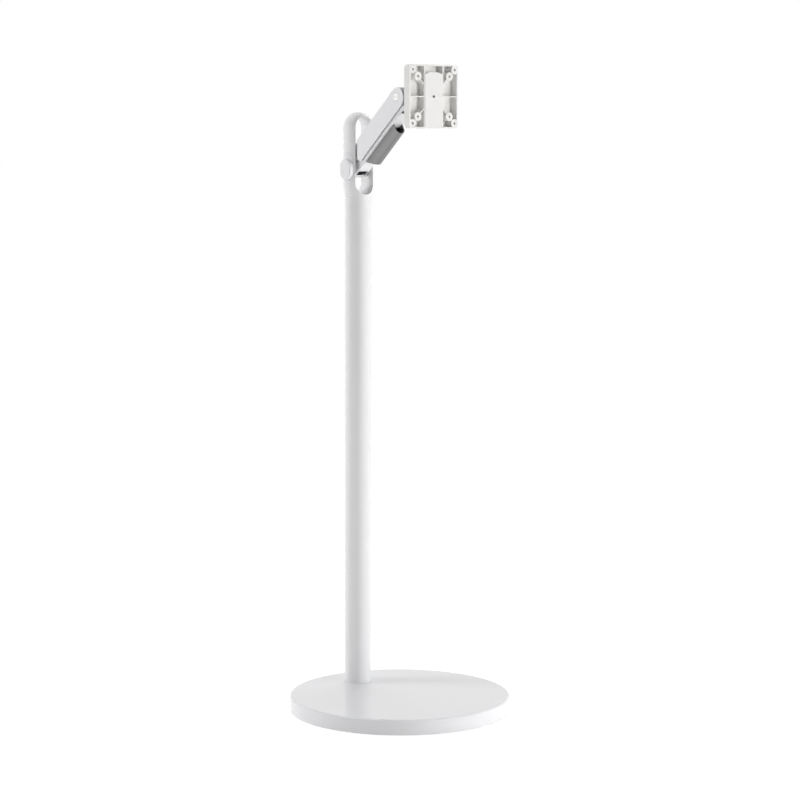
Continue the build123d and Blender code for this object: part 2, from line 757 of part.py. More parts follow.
# Cable duct: a U-shaped trough under the lower arm, cut on a slant at both ends, with two tabs
duct_radius = duct_width / 2
duct_side = duct_depth - duct_radius
duct_floor = -lower_floor_depth - duct_depth
with BuildPart() as cable_duct:
    for radius, mode in ((duct_radius, Mode.ADD), (duct_radius - duct_wall, Mode.SUBTRACT)):
        with BuildSketch(cross_plane(0, lower_pivot_height, rest_lift)):
            with Locations((0, -lower_floor_depth - duct_side / 2)):
                Rectangle(2 * radius, duct_side)
            with Locations((0, -lower_floor_depth - duct_side)):
                Circle(radius)
            with Locations((0, -lower_floor_depth + radius)):
                Rectangle(4 * radius, 2 * radius, mode=Mode.SUBTRACT)
        extrude(amount=arm_length, mode=mode)
    for place in tab_places:
        with BuildSketch(lower_plane):
            with Locations((place, -lower_floor_depth - duct_wall / 2)):
                Rectangle(duct_tab_length, duct_wall)
        extrude(amount=duct_radius - duct_wall / 2, both=True)
    with BuildSketch(lower_plane):
        Polygon((duct_start, -lower_floor_depth), (duct_end, -lower_floor_depth),
                (duct_end - duct_end_slant, duct_floor),
                (duct_start + duct_start_slant, duct_floor), align=None)
    extrude(amount=duct_width, both=True, mode=Mode.INTERSECT)
    with BuildSketch(floor_plane):
        with Locations(*[(0, -place) for place in tab_places]):
            Circle(duct_screw_diameter / 2)
    extrude(amount=-duct_wall, mode=Mode.SUBTRACT)
write_piece(cable_duct, "cable_duct")

# Duct screws: from inside the lower arm into the duct's tabs
with BuildPart() as duct_screws:
    with BuildSketch(floor_plane.offset(lower_floor_wall)):
        with Locations(*[(0, -place) for place in tab_places]):
            Circle(duct_screw_head_diameter / 2)
    extrude(amount=duct_screw_head_height)
    with BuildSketch(floor_plane.offset(lower_floor_wall)):
        with Locations(*[(0, -place) for place in tab_places]):
            Circle(duct_screw_diameter / 2)
    extrude(amount=-lower_floor_wall - duct_wall)
write_piece(duct_screws, "duct_screws")

# Gas spring: it leans from the lower rear axle to a pin in the upper arm
anchor_forward = spring_anchor * cos(lift)
anchor_rise = link_spacing + spring_anchor * sin(lift)
spring_length = hypot(anchor_forward, anchor_rise)
spring_lift = degrees(atan2(anchor_rise, anchor_forward))
spring_plane = sloped_side_plane(0, lower_pivot_height, spring_lift)
spring_cross = cross_plane(0, lower_pivot_height, spring_lift)
rod_radius = rod_diameter / 2
cylinder_radius = cylinder_diameter / 2
cylinder_bore_radius = cylinder_radius - cylinder_wall
cylinder_end = spring_length - cylinder_end_gap
with BuildPart() as gas_rod:
    with BuildSketch(spring_cross):
        Circle(rod_radius)
    extrude(amount=piston_place + piston_length)
    with BuildSketch(spring_plane):
        Circle(rod_eye_radius)
    extrude(amount=rod_eye_width / 2, both=True)
    with BuildSketch(spring_plane):
        Circle(axle_radius + running_gap)
    extrude(amount=rod_eye_width, both=True, mode=Mode.SUBTRACT)
write_piece(gas_rod, "gas_rod")

with BuildPart() as gas_piston:
    with BuildSketch(spring_cross.offset(piston_place)):
        Circle(cylinder_bore_radius - piston_gap)
        Circle(rod_radius, mode=Mode.SUBTRACT)
    extrude(amount=piston_length)
write_piece(gas_piston, "gas_piston")

with BuildPart() as rod_guide:
    with BuildSketch(spring_cross.offset(cylinder_start)):
        Circle(cylinder_bore_radius)
        Circle(rod_radius + running_gap, mode=Mode.SUBTRACT)
    extrude(amount=rod_guide_length)
write_piece(rod_guide, "rod_guide")

with BuildPart() as gas_cylinder:
    with BuildSketch(spring_cross.offset(cylinder_start)):
        Circle(cylinder_radius)
    extrude(amount=cylinder_end - cylinder_start)
    with BuildSketch(spring_plane):
        with Locations((spring_length, 0)):
            Circle(spring_eye_radius)
        with Locations((spring_length - spring_eye_radius, 0)):
            Rectangle(2 * spring_eye_radius, 2 * spring_eye_radius)
    extrude(amount=spring_eye_width / 2, both=True)
    with BuildSketch(spring_cross.offset(cylinder_start)):
        Circle(cylinder_bore_radius)
    extrude(amount=cylinder_end - cylinder_end_wall - cylinder_start, mode=Mode.SUBTRACT)
    with BuildSketch(spring_plane):
        with Locations((spring_length, 0)):
            Circle(anchor_pin_diameter / 2 + open_pivot_gap)
    extrude(amount=spring_eye_width, both=True, mode=Mode.SUBTRACT)
write_piece(gas_cylinder, "gas_cylinder")

# Anchor pin: carried by the upper arm, it holds the upper eye of the spring
with BuildPart() as anchor_pin:
    with BuildSketch(upper_plane):
        with Locations((spring_anchor, 0)):
            Circle(anchor_pin_diameter / 2)
    extrude(amount=upper_link_half, both=True)
write_piece(anchor_pin, "anchor_pin")

# Rod spacers: tubes on the lower rear axle that keep the rod's eye in the middle
rod_spacers = round_pair(side_plane(0, lower_pivot_height), rod_spacer_radius, axle_radius,
                         rod_eye_width / 2 + axial_gap, lower_inner_half - axial_gap)
write_piece(rod_spacers, "rod_spacers")

# Knuckle: a casting between both front pivots and the upright swivel pin
swivel_axis_height = front_pivot_height
barrel_half = barrel_height / 2
with BuildPart() as arm_knuckle:
    with BuildSketch(front_upper_plane):
        Circle(knuckle_head_radius)
        with Locations((0, -link_spacing)):
            Circle(knuckle_tail_radius)
        make_hull()
    extrude(amount=knuckle_half_width, both=True)
    for side_face in (arm_knuckle.faces().sort_by(Axis.X)[0], arm_knuckle.faces().sort_by(Axis.X)[-1]):
        fillet(side_face.edges(), knuckle_edge)
    with BuildSketch(level_plane(front_pivot_forward, swivel_axis_height - barrel_half)):
        with Locations((0, -swivel_reach / 2)):
            Rectangle(neck_width, swivel_reach)
        with Locations((0, -swivel_reach)):
            Circle(barrel_radius)
    extrude(amount=barrel_height)
    with BuildSketch(front_upper_plane):
        Circle(bush_radius)
        with Locations((0, -link_spacing)):
            Circle(bush_radius)
    extrude(amount=knuckle_half_width, both=True, mode=Mode.SUBTRACT)
    with BuildSketch(level_plane(swivel_forward, swivel_axis_height)):
        Circle(swivel_pin_diameter / 2 + running_gap)
    extrude(amount=barrel_height, both=True, mode=Mode.SUBTRACT)
write_piece(arm_knuckle, "arm_knuckle")

# Knuckle bushes: flanged at the upper pivot, plain at the lower one
with BuildPart() as upper_front_bushes:
    for side in (1, -1):
        with BuildSketch(front_upper_plane.offset(side * (knuckle_half_width - knuckle_bush_length))):
            Circle(bush_radius)
            Circle(axle_radius + running_gap, mode=Mode.SUBTRACT)
        extrude(amount=side * knuckle_bush_length)
        with BuildSketch(front_upper_plane.offset(side * knuckle_half_width)):
            Circle(knuckle_flange_radius)
            Circle(axle_radius + running_gap, mode=Mode.SUBTRACT)
        extrude(amount=side * (upper_link_inner - axial_gap - knuckle_half_width))
write_piece(upper_front_bushes, "upper_front_bushes")
lower_front_bushes = round_pair(front_lower_plane, bush_radius, axle_radius + running_gap,
                                knuckle_half_width - knuckle_bush_length, knuckle_half_width)
write_piece(lower_front_bushes, "lower_front_bushes")

# Swivel bracket: two level lugs around the knuckle's barrel, a bridge, and two upright lugs ahead
lug_bottom = barrel_half + swivel_washer + 2 * axial_gap
lug_top = lug_bottom + lug_thickness
bridge_back = barrel_radius + bridge_gap
bridge_front = bridge_back + bridge_thickness
tilt_lug_inner = tilt_barrel_width / 2 + tilt_washer + 2 * axial_gap
tilt_lug_outer = tilt_lug_inner + tilt_lug_thickness
swivel_plane = side_plane(swivel_forward, swivel_axis_height)
with BuildPart() as swivel_bracket:
    for side in (1, -1):
        with BuildSketch(level_plane(swivel_forward, swivel_axis_height + side * lug_bottom)):
            Circle(lug_radius)
            with Locations((0, -bridge_front / 2)):
                Rectangle(2 * lug_radius, bridge_front)
        extrude(amount=side * lug_thickness)
    with BuildSketch(level_plane(swivel_forward, swivel_axis_height - lug_top)):
        with Locations((0, -(bridge_back + bridge_front) / 2)):
            Rectangle(2 * tilt_lug_outer, bridge_thickness)
    extrude(amount=2 * lug_top)
    for side in (1, -1):
        with BuildSketch(swivel_plane.offset(side * tilt_lug_inner)):
            with Locations((tilt_reach, 0)):
                Circle(tilt_lug_radius)
            with Locations(((bridge_front + tilt_reach) / 2, 0)):
                Rectangle(tilt_reach - bridge_front, 2 * tilt_lug_radius)
        extrude(amount=side * tilt_lug_thickness)
    with BuildSketch(level_plane(swivel_forward, swivel_axis_height)):
        Circle(swivel_pin_diameter / 2)
    extrude(amount=lug_top, both=True, mode=Mode.SUBTRACT)
    with BuildSketch(swivel_plane):
        with Locations((tilt_reach, 0)):
            Circle(tilt_pin_diameter / 2)
    extrude(amount=tilt_lug_outer, both=True, mode=Mode.SUBTRACT)
write_piece(swivel_bracket, "swivel_bracket")

# Swivel pin with a head above, a round nut below, and a washer at each end of the barrel
with BuildPart() as swivel_pin:
    with BuildSketch(level_plane(swivel_forward, swivel_axis_height - lug_top - swivel_pin_head_height)):
        Circle(swivel_pin_diameter / 2)
    extrude(amount=2 * lug_top + swivel_pin_head_height)
    with BuildSketch(level_plane(swivel_forward, swivel_axis_height + lug_top)):
        Circle(swivel_pin_head_diameter / 2)
    extrude(amount=swivel_pin_head_height)
    chamfer(swivel_pin.edges().group_by(Axis.Z)[-1], swivel_pin_head_edge)
write_piece(swivel_pin, "swivel_pin")

with BuildPart() as swivel_nut:
    with BuildSketch(level_plane(swivel_forward, swivel_axis_height - lug_top)):
        Circle(swivel_pin_head_diameter / 2)
        Circle(swivel_pin_diameter / 2, mode=Mode.SUBTRACT)
    extrude(amount=-swivel_pin_head_height)
write_piece(swivel_nut, "swivel_nut")

with BuildPart() as swivel_washers:
    for side in (1, -1):
        with BuildSketch(level_plane(swivel_forward, swivel_axis_height + side * (barrel_half + axial_gap))):
            Circle(barrel_radius)
            Circle(swivel_pin_diameter / 2, mode=Mode.SUBTRACT)
        extrude(amount=side * (swivel_washer + axial_gap))
write_piece(swivel_washers, "swivel_washers")

# Tilt block: a barrel on the tilt pin, with a round face that carries the plate
tilt_plane = side_plane(tilt_forward, plate_centre_height)
tilt_disc_front = plate_reach - pad_height - turn_washer - axial_gap
tilt_disc_back = tilt_disc_front - tilt_disc_thickness
with BuildPart() as tilt_block:
    with BuildSketch(tilt_plane):
        Circle(tilt_barrel_radius)
        with Locations((tilt_disc_back / 2, 0)):
            Rectangle(tilt_disc_back, 2 * tilt_barrel_radius)
    extrude(amount=tilt_barrel_width / 2, both=True)
    with BuildSketch(front_plane(tilt_forward + tilt_disc_back, plate_centre_height)):
        Circle(tilt_disc_radius)
    extrude(amount=tilt_disc_thickness)
    with BuildSketch(tilt_plane):
        Circle(tilt_pin_diameter / 2 + running_gap)
    extrude(amount=tilt_barrel_width, both=True, mode=Mode.SUBTRACT)
    with BuildSketch(front_plane(tilt_forward + tilt_disc_front, plate_centre_height)):
        Circle(turn_thread_diameter / 2)
    extrude(amount=-turn_thread_length, mode=Mode.SUBTRACT)
write_piece(tilt_block, "tilt_block")

# Tilt pin with a head on the left, a nut on the right and a friction washer beside each lug
with BuildPart() as tilt_pin:
    with BuildSketch(tilt_plane.offset(-tilt_lug_outer - tilt_head_height)):
        Circle(tilt_pin_diameter / 2)
    extrude(amount=2 * tilt_lug_outer + tilt_head_height)
    with BuildSketch(tilt_plane.offset(tilt_lug_outer)):
        Circle(tilt_head_diameter / 2)
    extrude(amount=tilt_head_height)
    with BuildSketch(tilt_plane.offset(tilt_lug_outer + tilt_head_height)):
        RegularPolygon(tilt_pin_diameter / 2, 6, major_radius=False)
    extrude(amount=-tilt_head_height / 2, mode=Mode.SUBTRACT)
write_piece(tilt_pin, "tilt_pin")

with BuildPart() as tilt_nut:
    with BuildSketch(tilt_plane.offset(-tilt_lug_outer)):
        RegularPolygon(tilt_head_diameter / 2, 6)
        Circle(tilt_pin_diameter / 2, mode=Mode.SUBTRACT)
    extrude(amount=-tilt_head_height)
write_piece(tilt_nut, "tilt_nut")

tilt_washers = round_pair(tilt_plane, tilt_barrel_radius, tilt_pin_diameter / 2,
                          tilt_barrel_width / 2 + axial_gap, tilt_lug_inner)
write_piece(tilt_washers, "tilt_washers")

# Turn screw: a shouldered screw in the tilt block, on which the display plate turns
turn_front = tilt_forward + tilt_disc_front
floor_front = tilt_forward + plate_reach + plate_floor
with BuildPart() as turn_washer_ring:
    with BuildSketch(front_plane(turn_front, plate_centre_height)):
        Circle(turn_washer_radius)
        Circle(turn_shoulder_diameter / 2, mode=Mode.SUBTRACT)
    extrude(amount=turn_washer)
write_piece(turn_washer_ring, "turn_washer")

with BuildPart() as head_washer:
    with BuildSketch(front_plane(floor_front + axial_gap, plate_centre_height)):
        Circle(turn_head_washer_radius)
        Circle(turn_shoulder_diameter / 2, mode=Mode.SUBTRACT)
    extrude(amount=turn_head_washer)
write_piece(head_washer, "turn_head_washer")

with BuildPart() as turn_screw:
    with BuildSketch(front_plane(turn_front - turn_thread_length, plate_centre_height)):
        Circle(turn_thread_diameter / 2)
    extrude(amount=turn_thread_length)
    with BuildSketch(front_plane(turn_front, plate_centre_height)):
        Circle(turn_shoulder_diameter / 2)
    extrude(amount=floor_front + axial_gap + turn_head_washer - turn_front)
    with BuildSketch(front_plane(floor_front + axial_gap + turn_head_washer, plate_centre_height)):
        Circle(turn_head_diameter / 2)
    extrude(amount=turn_head_height)
    with BuildSketch(front_plane(floor_front + axial_gap + turn_head_washer + turn_head_height,
                                 plate_centre_height)):
        RegularPolygon(turn_thread_diameter / 2, 6, major_radius=False)
    extrude(amount=-turn_head_height / 2, mode=Mode.SUBTRACT)
write_piece(turn_screw, "turn_screw")

# Display plate: an open square box with bosses for both hole patterns, ribs and a middle channel
plate_plane = front_plane(plate_back_forward, plate_centre_height)
plate_front_plane = plate_plane.offset(plate_depth)
channel_half = tongue_width / 2 + tongue_side_gap
channel_outer = channel_half + plate_rib
inner_boss_place = inner_pattern / 2
outer_boss_place = outer_pattern / 2
rib_depth = plate_depth - plate_floor - plate_rib_drop
with BuildPart() as display_plate:
    with BuildSketch(plate_plane):
        RectangleRounded(plate_width, plate_height, plate_corner)
    extrude(amount=plate_depth)
    with BuildSketch(plate_plane.offset(plate_floor)):
        RectangleRounded(plate_width - 2 * plate_wall, plate_height - 2 * plate_wall,
                         plate_corner - plate_wall)
    extrude(amount=plate_depth - plate_floor, mode=Mode.SUBTRACT)
    chamfer(display_plate.faces().sort_by(Axis.Y)[-1].edges(), plate_rim_edge)
    with BuildSketch(plate_plane.offset(plate_floor)):
        with GridLocations(inner_pattern, inner_pattern, 2, 2):
            Circle(inner_boss_diameter / 2)
        with GridLocations(outer_pattern, outer_pattern, 2, 2):
            Circle(outer_boss_diameter / 2)
    extrude(amount=plate_depth - plate_floor)
    with BuildSketch(plate_plane.offset(plate_floor)):
        for side in (1, -1):
            with Locations((side * (channel_half + plate_rib / 2), 0)):
                Rectangle(plate_rib, plate_height - plate_wall)
            with Locations((side * (channel_half + plate_width / 2) / 2, 0)):
                Rectangle(plate_width / 2 - channel_half - plate_wall / 2, plate_rib)
            for level in (1, -1):
                middle = (inner_boss_place + outer_boss_place) / 2
                with Locations(Location((side * middle, level * middle, 0), side * level * 45)):
                    Rectangle((outer_boss_place - inner_boss_place) * sqrt(2), plate_rib)
                inward = (inner_boss_place + channel_outer) / 2
                with Locations(Location((side * inward, level * inward, 0), side * level * 45)):
                    Rectangle((inner_boss_place - channel_outer) * sqrt(2), plate_rib)
    extrude(amount=rib_depth)
    with BuildSketch(plate_plane.offset(plate_floor)):
        with Locations((0, -plate_height / 2)):
            Rectangle(2 * channel_half, 2 * plate_wall + plate_rib)
    extrude(amount=plate_depth, mode=Mode.SUBTRACT)
    with BuildSketch(plate_plane):
        Circle(pad_radius)
    extrude(amount=-pad_height)
    with BuildSketch(plate_plane.offset(-pad_height)):
        Circle(turn_shoulder_diameter / 2 + running_gap)
        with GridLocations(inner_pattern, inner_pattern, 2, 2):
            Circle(plate_hole_diameter / 2)
        with GridLocations(outer_pattern, outer_pattern, 2, 2):
            Circle(plate_hole_diameter / 2)
        with GridLocations(tongue_screw_spacing_x, tongue_screw_spacing_y, 2, 2):
            Circle(tongue_screw_diameter / 2)
    extrude(amount=plate_depth + pad_height, mode=Mode.SUBTRACT)
write_piece(display_plate, "display_plate")

# Mount tongue: a smooth hollow cover in the channel, flush with the rim, with an arched top
tongue_shoulder = tongue_arch_top - tongue_arch_rise
tongue_half = tongue_width / 2
tongue_bottom = -plate_height / 2
tongue_inner_half = tongue_half - tongue_side_wall
tongue_depth = plate_depth - plate_floor
with BuildPart() as mount_tongue:
    with BuildSketch(plate_plane.offset(plate_floor)):
        with BuildLine():
            Polyline((-tongue_half, tongue_shoulder), (-tongue_half, tongue_bottom),
                     (tongue_half, tongue_bottom), (tongue_half, tongue_shoulder))
            ThreePointArc((tongue_half, tongue_shoulder), (0, tongue_arch_top),
                          (-tongue_half, tongue_shoulder))
        make_face()
    extrude(amount=tongue_depth)
    with BuildSketch(plate_plane.offset(plate_floor)):
        with Locations((0, (tongue_shoulder + tongue_bottom) / 2)):
            Rectangle(2 * tongue_inner_half, tongue_shoulder - tongue_bottom - 2 * tongue_side_wall)
        with GridLocations(tongue_screw_spacing_x, tongue_screw_spacing_y, 2, 2):
            Circle(tongue_boss_diameter / 2, mode=Mode.SUBTRACT)
    extrude(amount=tongue_depth - tongue_front_wall, mode=Mode.SUBTRACT)
    with BuildSketch(plate_plane.offset(plate_floor)):
        with GridLocations(tongue_screw_spacing_x, tongue_screw_spacing_y, 2, 2):
            Circle(tongue_screw_diameter / 2)
    extrude(amount=tongue_screw_grip, mode=Mode.SUBTRACT)
    with BuildSketch(plate_front_plane):
        Circle(tongue_hole_diameter / 2)
    extrude(amount=-tongue_front_wall, mode=Mode.SUBTRACT)
    with BuildSketch(plate_front_plane.offset(-tongue_hole_wall)):
        Circle(tongue_hole_relief / 2)
    extrude(amount=tongue_hole_wall - tongue_front_wall, mode=Mode.SUBTRACT)
write_piece(mount_tongue, "mount_tongue")

# Tongue screws: four screws from behind, through the plate's floor into the tongue
with BuildPart() as tongue_screws:
    with BuildSketch(plate_plane):
        with GridLocations(tongue_screw_spacing_x, tongue_screw_spacing_y, 2, 2):
            Circle(tongue_screw_head_diameter / 2)
    extrude(amount=-tongue_screw_head_height)
    with BuildSketch(plate_plane):
        with GridLocations(tongue_screw_spacing_x, tongue_screw_spacing_y, 2, 2):
            Circle(tongue_screw_diameter / 2)
    extrude(amount=plate_floor + tongue_screw_grip)
write_piece(tongue_screws, "tongue_screws")
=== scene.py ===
"""Dresses the floor stand: weighted base, pole, loop head, gas-spring arm and display plate."""
import logging
import math
from dataclasses import dataclass, field
from enum import Enum
from typing import Callable, ClassVar, Optional

import bmesh
import bpy
from mathutils import Matrix, Vector


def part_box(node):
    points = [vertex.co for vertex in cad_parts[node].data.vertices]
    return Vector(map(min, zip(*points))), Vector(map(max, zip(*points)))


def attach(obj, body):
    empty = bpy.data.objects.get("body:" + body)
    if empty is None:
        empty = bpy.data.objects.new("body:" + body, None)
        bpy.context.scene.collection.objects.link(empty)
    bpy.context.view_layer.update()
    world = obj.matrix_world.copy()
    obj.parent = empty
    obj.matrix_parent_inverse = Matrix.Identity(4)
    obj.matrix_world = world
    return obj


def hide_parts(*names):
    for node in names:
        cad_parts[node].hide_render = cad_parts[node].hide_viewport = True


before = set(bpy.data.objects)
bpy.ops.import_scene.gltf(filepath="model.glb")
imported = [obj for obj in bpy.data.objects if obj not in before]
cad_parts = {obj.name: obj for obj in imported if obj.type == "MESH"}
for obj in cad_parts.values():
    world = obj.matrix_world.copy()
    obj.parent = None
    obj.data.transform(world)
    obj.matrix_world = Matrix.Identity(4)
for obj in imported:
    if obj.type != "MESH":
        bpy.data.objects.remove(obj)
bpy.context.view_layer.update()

LOG = logging.getLogger("floor_stand")
MM = 0.001
ARM_RISE = math.radians(40.0)
UP = Vector((0, 0, 1))
DOWN = Vector((0, 0, -1))
LEFT = Vector((-1, 0, 0))
FRONT = Vector((0, -1, 0))
REAR = Vector((0, 1, 0))
WHITE_LIGHT = (1.0, 1.0, 1.0, 1.0)
# Points of a CAD mesh that are closer than this, in metres, are one point
WELD = 1e-6
# Least divisor in the outline of a cross, whose radius would otherwise be endless
LEAST_DIVISOR = 1e-6
# Height of a thread's sharp ridge over the flat crest that it is cut to
RIDGE_OVER_CREST = 1.25

Outline = Callable[[float], float]


class Axis(Enum):
    """Direction that a lined surface runs in, as a rotation about the X axis."""

    NONE = 0.0
    ARM = ARM_RISE


class Drive(Enum):
    """Recess that a tool turns a screw by."""

    CROSS = "cross"
    HEXAGON = "hexagon"


def linear(hex_colour: str) -> tuple[float, float, float, float]:
    """Turns an sRGB hex colour into linear light, by the curve of the sRGB standard.

    Args:
        hex_colour: colour as "#RRGGBB".

    Returns:
        Linear red, green, blue and an alpha of one.
    """
    channels = []
    for start in (1, 3, 5):
        value = int(hex_colour[start:start + 2], 16) / 255
        if value <= 0.04045:
            channels.append(value / 12.92)
        else:
            channels.append(((value + 0.055) / 1.055) ** 2.4)
    return channels[0], channels[1], channels[2], 1.0


def add_node(tree: bpy.types.NodeTree, kind: str, inputs: Optional[dict] = None,
             **settings: object) -> bpy.types.Node:
    """Adds one node to a shader tree, with its settings, values and links.

    Args:
        tree: node tree that gets the node.
        kind: type name of the node.
        inputs: value or source socket for each named or numbered input.
        settings: attributes set on the node itself.

    Returns:
        The new node.
    """
    node = tree.nodes.new(kind)
    for name, value in settings.items():
        setattr(node, name, value)
    for name, value in (inputs or {}).items():
        if isinstance(value, bpy.types.NodeSocket):
            tree.links.new(value, node.inputs[name])
        else:
            node.inputs[name].default_value = value
    return node


@dataclass(frozen=True)
class Finish:
    """Plain surface of one real material, dressed further by each kind of finish."""

    name: str
    colour: str
    roughness: float
    ior: float = 1.5
    metallic: float = 0.0
    tint: float = 0.03
    tint_mm: float = 60.0
    drift: float = 0.125
    drift_mm: float = 30.0

    noise_band: ClassVar[tuple[float, float]] = (0.3, 0.7)
    made: ClassVar[dict[str, bpy.types.Material]] = {}

    def material(self) -> bpy.types.Material:
        """Returns the material of this finish, made once and shared by its pieces."""
        if self.name not in self.made:
            material = bpy.data.materials.new(self.name)
            material.use_nodes = True
            tree = material.node_tree
            tree.nodes.clear()
            self.paint(tree)
            self.made[self.name] = material
        return self.made[self.name]

    def place(self, tree: bpy.types.NodeTree) -> bpy.types.NodeSocket:
        """Returns the point on the piece, in metres, that the patterns start from."""
        return add_node(tree, "ShaderNodeTexCoord").outputs["Object"]

    def noise(self, tree: bpy.types.NodeTree, point: bpy.types.NodeSocket, grain_mm: float,
              detail: float = 2.0) -> bpy.types.NodeSocket:
        """Adds a noise whose lumps have a real size.

        Args:
            tree: node tree of the material.
            point: where the noise is read.
            grain_mm: size of one lump in millimetres.
            detail: octaves of finer noise.

        Returns:
            Strength of the noise, from 0 to 1.
        """
        inputs = {"Vector": point, "Scale": 1 / (grain_mm * MM), "Detail": detail}
        return add_node(tree, "ShaderNodeTexNoise", inputs).outputs["Fac"]

    def drifting(self, tree: bpy.types.NodeTree,
                 value: bpy.types.NodeSocket) -> bpy.types.NodeSocket:
        """Maps a noise to a band around the roughness of the finish.

        Args:
            tree: node tree of the material.
            value: noise, which hardly leaves the noise band.

        Returns:
            The drifting roughness.
        """
        low, high = self.noise_band
        swing = self.roughness * self.drift
        inputs = {"Value": value, "From Min": low, "From Max": high,
                  "To Min": self.roughness - swing, "To Max": self.roughness + swing}
        return add_node(tree, "ShaderNodeMapRange", inputs).outputs["Result"]

    def bump(self, tree: bpy.types.NodeTree, height: bpy.types.NodeSocket,
             depth_mm: float) -> bpy.types.NodeSocket:
        """Turns a pattern into a relief of a real depth.

        Args:
            tree: node tree of the material.
            height: pattern from 0 to 1.
            depth_mm: depth of the relief in millimetres.

        Returns:
            Normal of the relief.
        """
        inputs = {"Height": height, "Strength": 1.0, "Distance": depth_mm * MM}
        return add_node(tree, "ShaderNodeBump", inputs).outputs["Normal"]

    def shade(self, tree: bpy.types.NodeTree,
              point: bpy.types.NodeSocket) -> bpy.types.NodeSocket:
        """Colour with the faint unevenness that a real coat or moulding has.

        Args:
            tree: node tree of the material.
            point: where the unevenness is read.

        Returns:
            Colour socket.
        """
        full = linear(self.colour)
        dull = tuple(channel * (1 - self.tint) for channel in full[:3]) + full[3:]
        inputs = {"Factor": self.noise(tree, point, self.tint_mm), "A": full, "B": dull}
        mix = add_node(tree, "ShaderNodeMix", data_type="RGBA")
        for name, value in inputs.items():
            socket = next(s for s in mix.inputs if s.name == name and s.enabled)
            if isinstance(value, bpy.types.NodeSocket):
                tree.links.new(value, socket)
            else:
                socket.default_value = value
        return next(s for s in mix.outputs if s.enabled)

    def relief(self, tree: bpy.types.NodeTree,
               point: bpy.types.NodeSocket) -> Optional[bpy.types.NodeSocket]:
        """Returns the normal of the surface relief, or nothing where the surface has none."""
        return None

    def gloss(self, tree: bpy.types.NodeTree,
              point: bpy.types.NodeSocket) -> bpy.types.NodeSocket:
        """Returns the roughness, which drifts a little over the surface."""
        return self.drifting(tree, self.noise(tree, point, self.drift_mm))

    def paint(self, tree: bpy.types.NodeTree) -> None:
        """Builds the node tree of the finish.

        Args:
            tree: empty node tree of the material.
        """
        point = self.place(tree)
        inputs = {"Base Color": self.shade(tree, point), "Roughness": self.gloss(tree, point),
                  "Metallic": self.metallic}
        if self.metallic < 1:
            inputs["IOR"] = self.ior
        normal = self.relief(tree, point)
        if normal is not None:
            inputs["Normal"] = normal
        shader = add_node(tree, "ShaderNodeBsdfPrincipled", inputs)
        add_node(tree, "ShaderNodeOutputMaterial", {"Surface": shader.outputs["BSDF"]})


@dataclass(frozen=True)
class MouldedPlastic(Finish):
    """Injection moulding, whose cooling skin has soft waves that bend the reflections."""

    wave_mm: float = 28.0
    wave_depth_mm: float = 0.02

    def relief(self, tree: bpy.types.NodeTree,
               point: bpy.types.NodeSocket) -> bpy.types.NodeSocket:
        """Returns the normal of the moulding's soft waves."""
        return self.bump(tree, self.noise(tree, point, self.wave_mm), self.wave_depth_mm)


@dataclass(frozen=True)
class GrainedSkin(Finish):
    """Even skin with a fine grain: orange peel of a coat, blasting marks or moulded rubber.

    The grain of a powder coat is drawn at 3 mm, because 1 mm would not show.
    """

    grain_mm: float = 3.0
    grain_depth_mm: float = 0.012

    def relief(self, tree: bpy.types.NodeTree,
               point: bpy.types.NodeSocket) -> bpy.types.NodeSocket:
        """Returns the normal of the grain."""
        grain = self.noise(tree, point, self.grain_mm, detail=1.0)
        return self.bump(tree, grain, self.grain_depth_mm)


@dataclass(frozen=True)
class DrawnMetal(Finish):
    """Metal with fine lines from its die or its wheel, which stretch the highlights."""

    metallic: float = 1.0
    drift: float = 0.25
    line_mm: float = 0.5
    line_length_mm: float = 60.0
    line_depth_mm: float = 0.01
    along: Axis = Axis.ARM

    def lines(self, tree: bpy.types.NodeTree,
              point: bpy.types.NodeSocket) -> bpy.types.NodeSocket:
        """Adds the lines, long in one direction and thin across it.

        Args:
            tree: node tree of the material.
            point: where the lines are read.

        Returns:
            Strength of the lines, from 0 to 1.
        """
        rotation = (self.along.value, 0, 0)
        turned = add_node(tree, "ShaderNodeMapping", {"Vector": point, "Rotation": rotation})
        scale = (1.0, self.line_mm / self.line_length_mm, 1.0)
        drawn = add_node(tree, "ShaderNodeMapping",
                         {"Vector": turned.outputs["Vector"], "Scale": scale})
        return self.noise(tree, drawn.outputs["Vector"], self.line_mm, detail=3.0)

    def gloss(self, tree: bpy.types.NodeTree,
              point: bpy.types.NodeSocket) -> bpy.types.NodeSocket:
        """Returns the roughness, which follows the lines."""
        return self.drifting(tree, self.lines(tree, point))

    def relief(self, tree: bpy.types.NodeTree,
               point: bpy.types.NodeSocket) -> bpy.types.NodeSocket:
        """Returns the normal of the lines."""
        return self.bump(tree, self.lines(tree, point), self.line_depth_mm)


@dataclass(frozen=True)
class TurnedMetal(DrawnMetal):
    """Metal with the short, close marks of a lathe."""

    line_mm: float = 0.4
    line_length_mm: float = 8.0
    along: Axis = Axis.NONE


# Glossy injection-moulded ABS: the base and the covers mirror the white surroundings
GLOSS_ABS = MouldedPlastic("white_abs_moulded_gloss", "#EFEFF1", roughness=0.05, ior=1.54)
# Satin moulded ABS of the plate: warmer than the glossy covers, with a broad soft highlight
SATIN_ABS = MouldedPlastic("warm_white_abs_moulded_satin", "#F0EFED", roughness=0.34, ior=1.54,
                           wave_mm=16.0)
# Powder-coated steel of the pole and the links: smooth white with soft-edged reflections
WHITE_POWDER = GrainedSkin("white_powder_coated_steel", "#EFEFF0", roughness=0.14)
# Powder-coated die casting of the head: duller than the pole, with a deeper peel over the cast skin
CAST_POWDER = GrainedSkin("white_powder_coated_die_casting", "#EEEEEF", roughness=0.27,
                          grain_depth_mm=0.018)
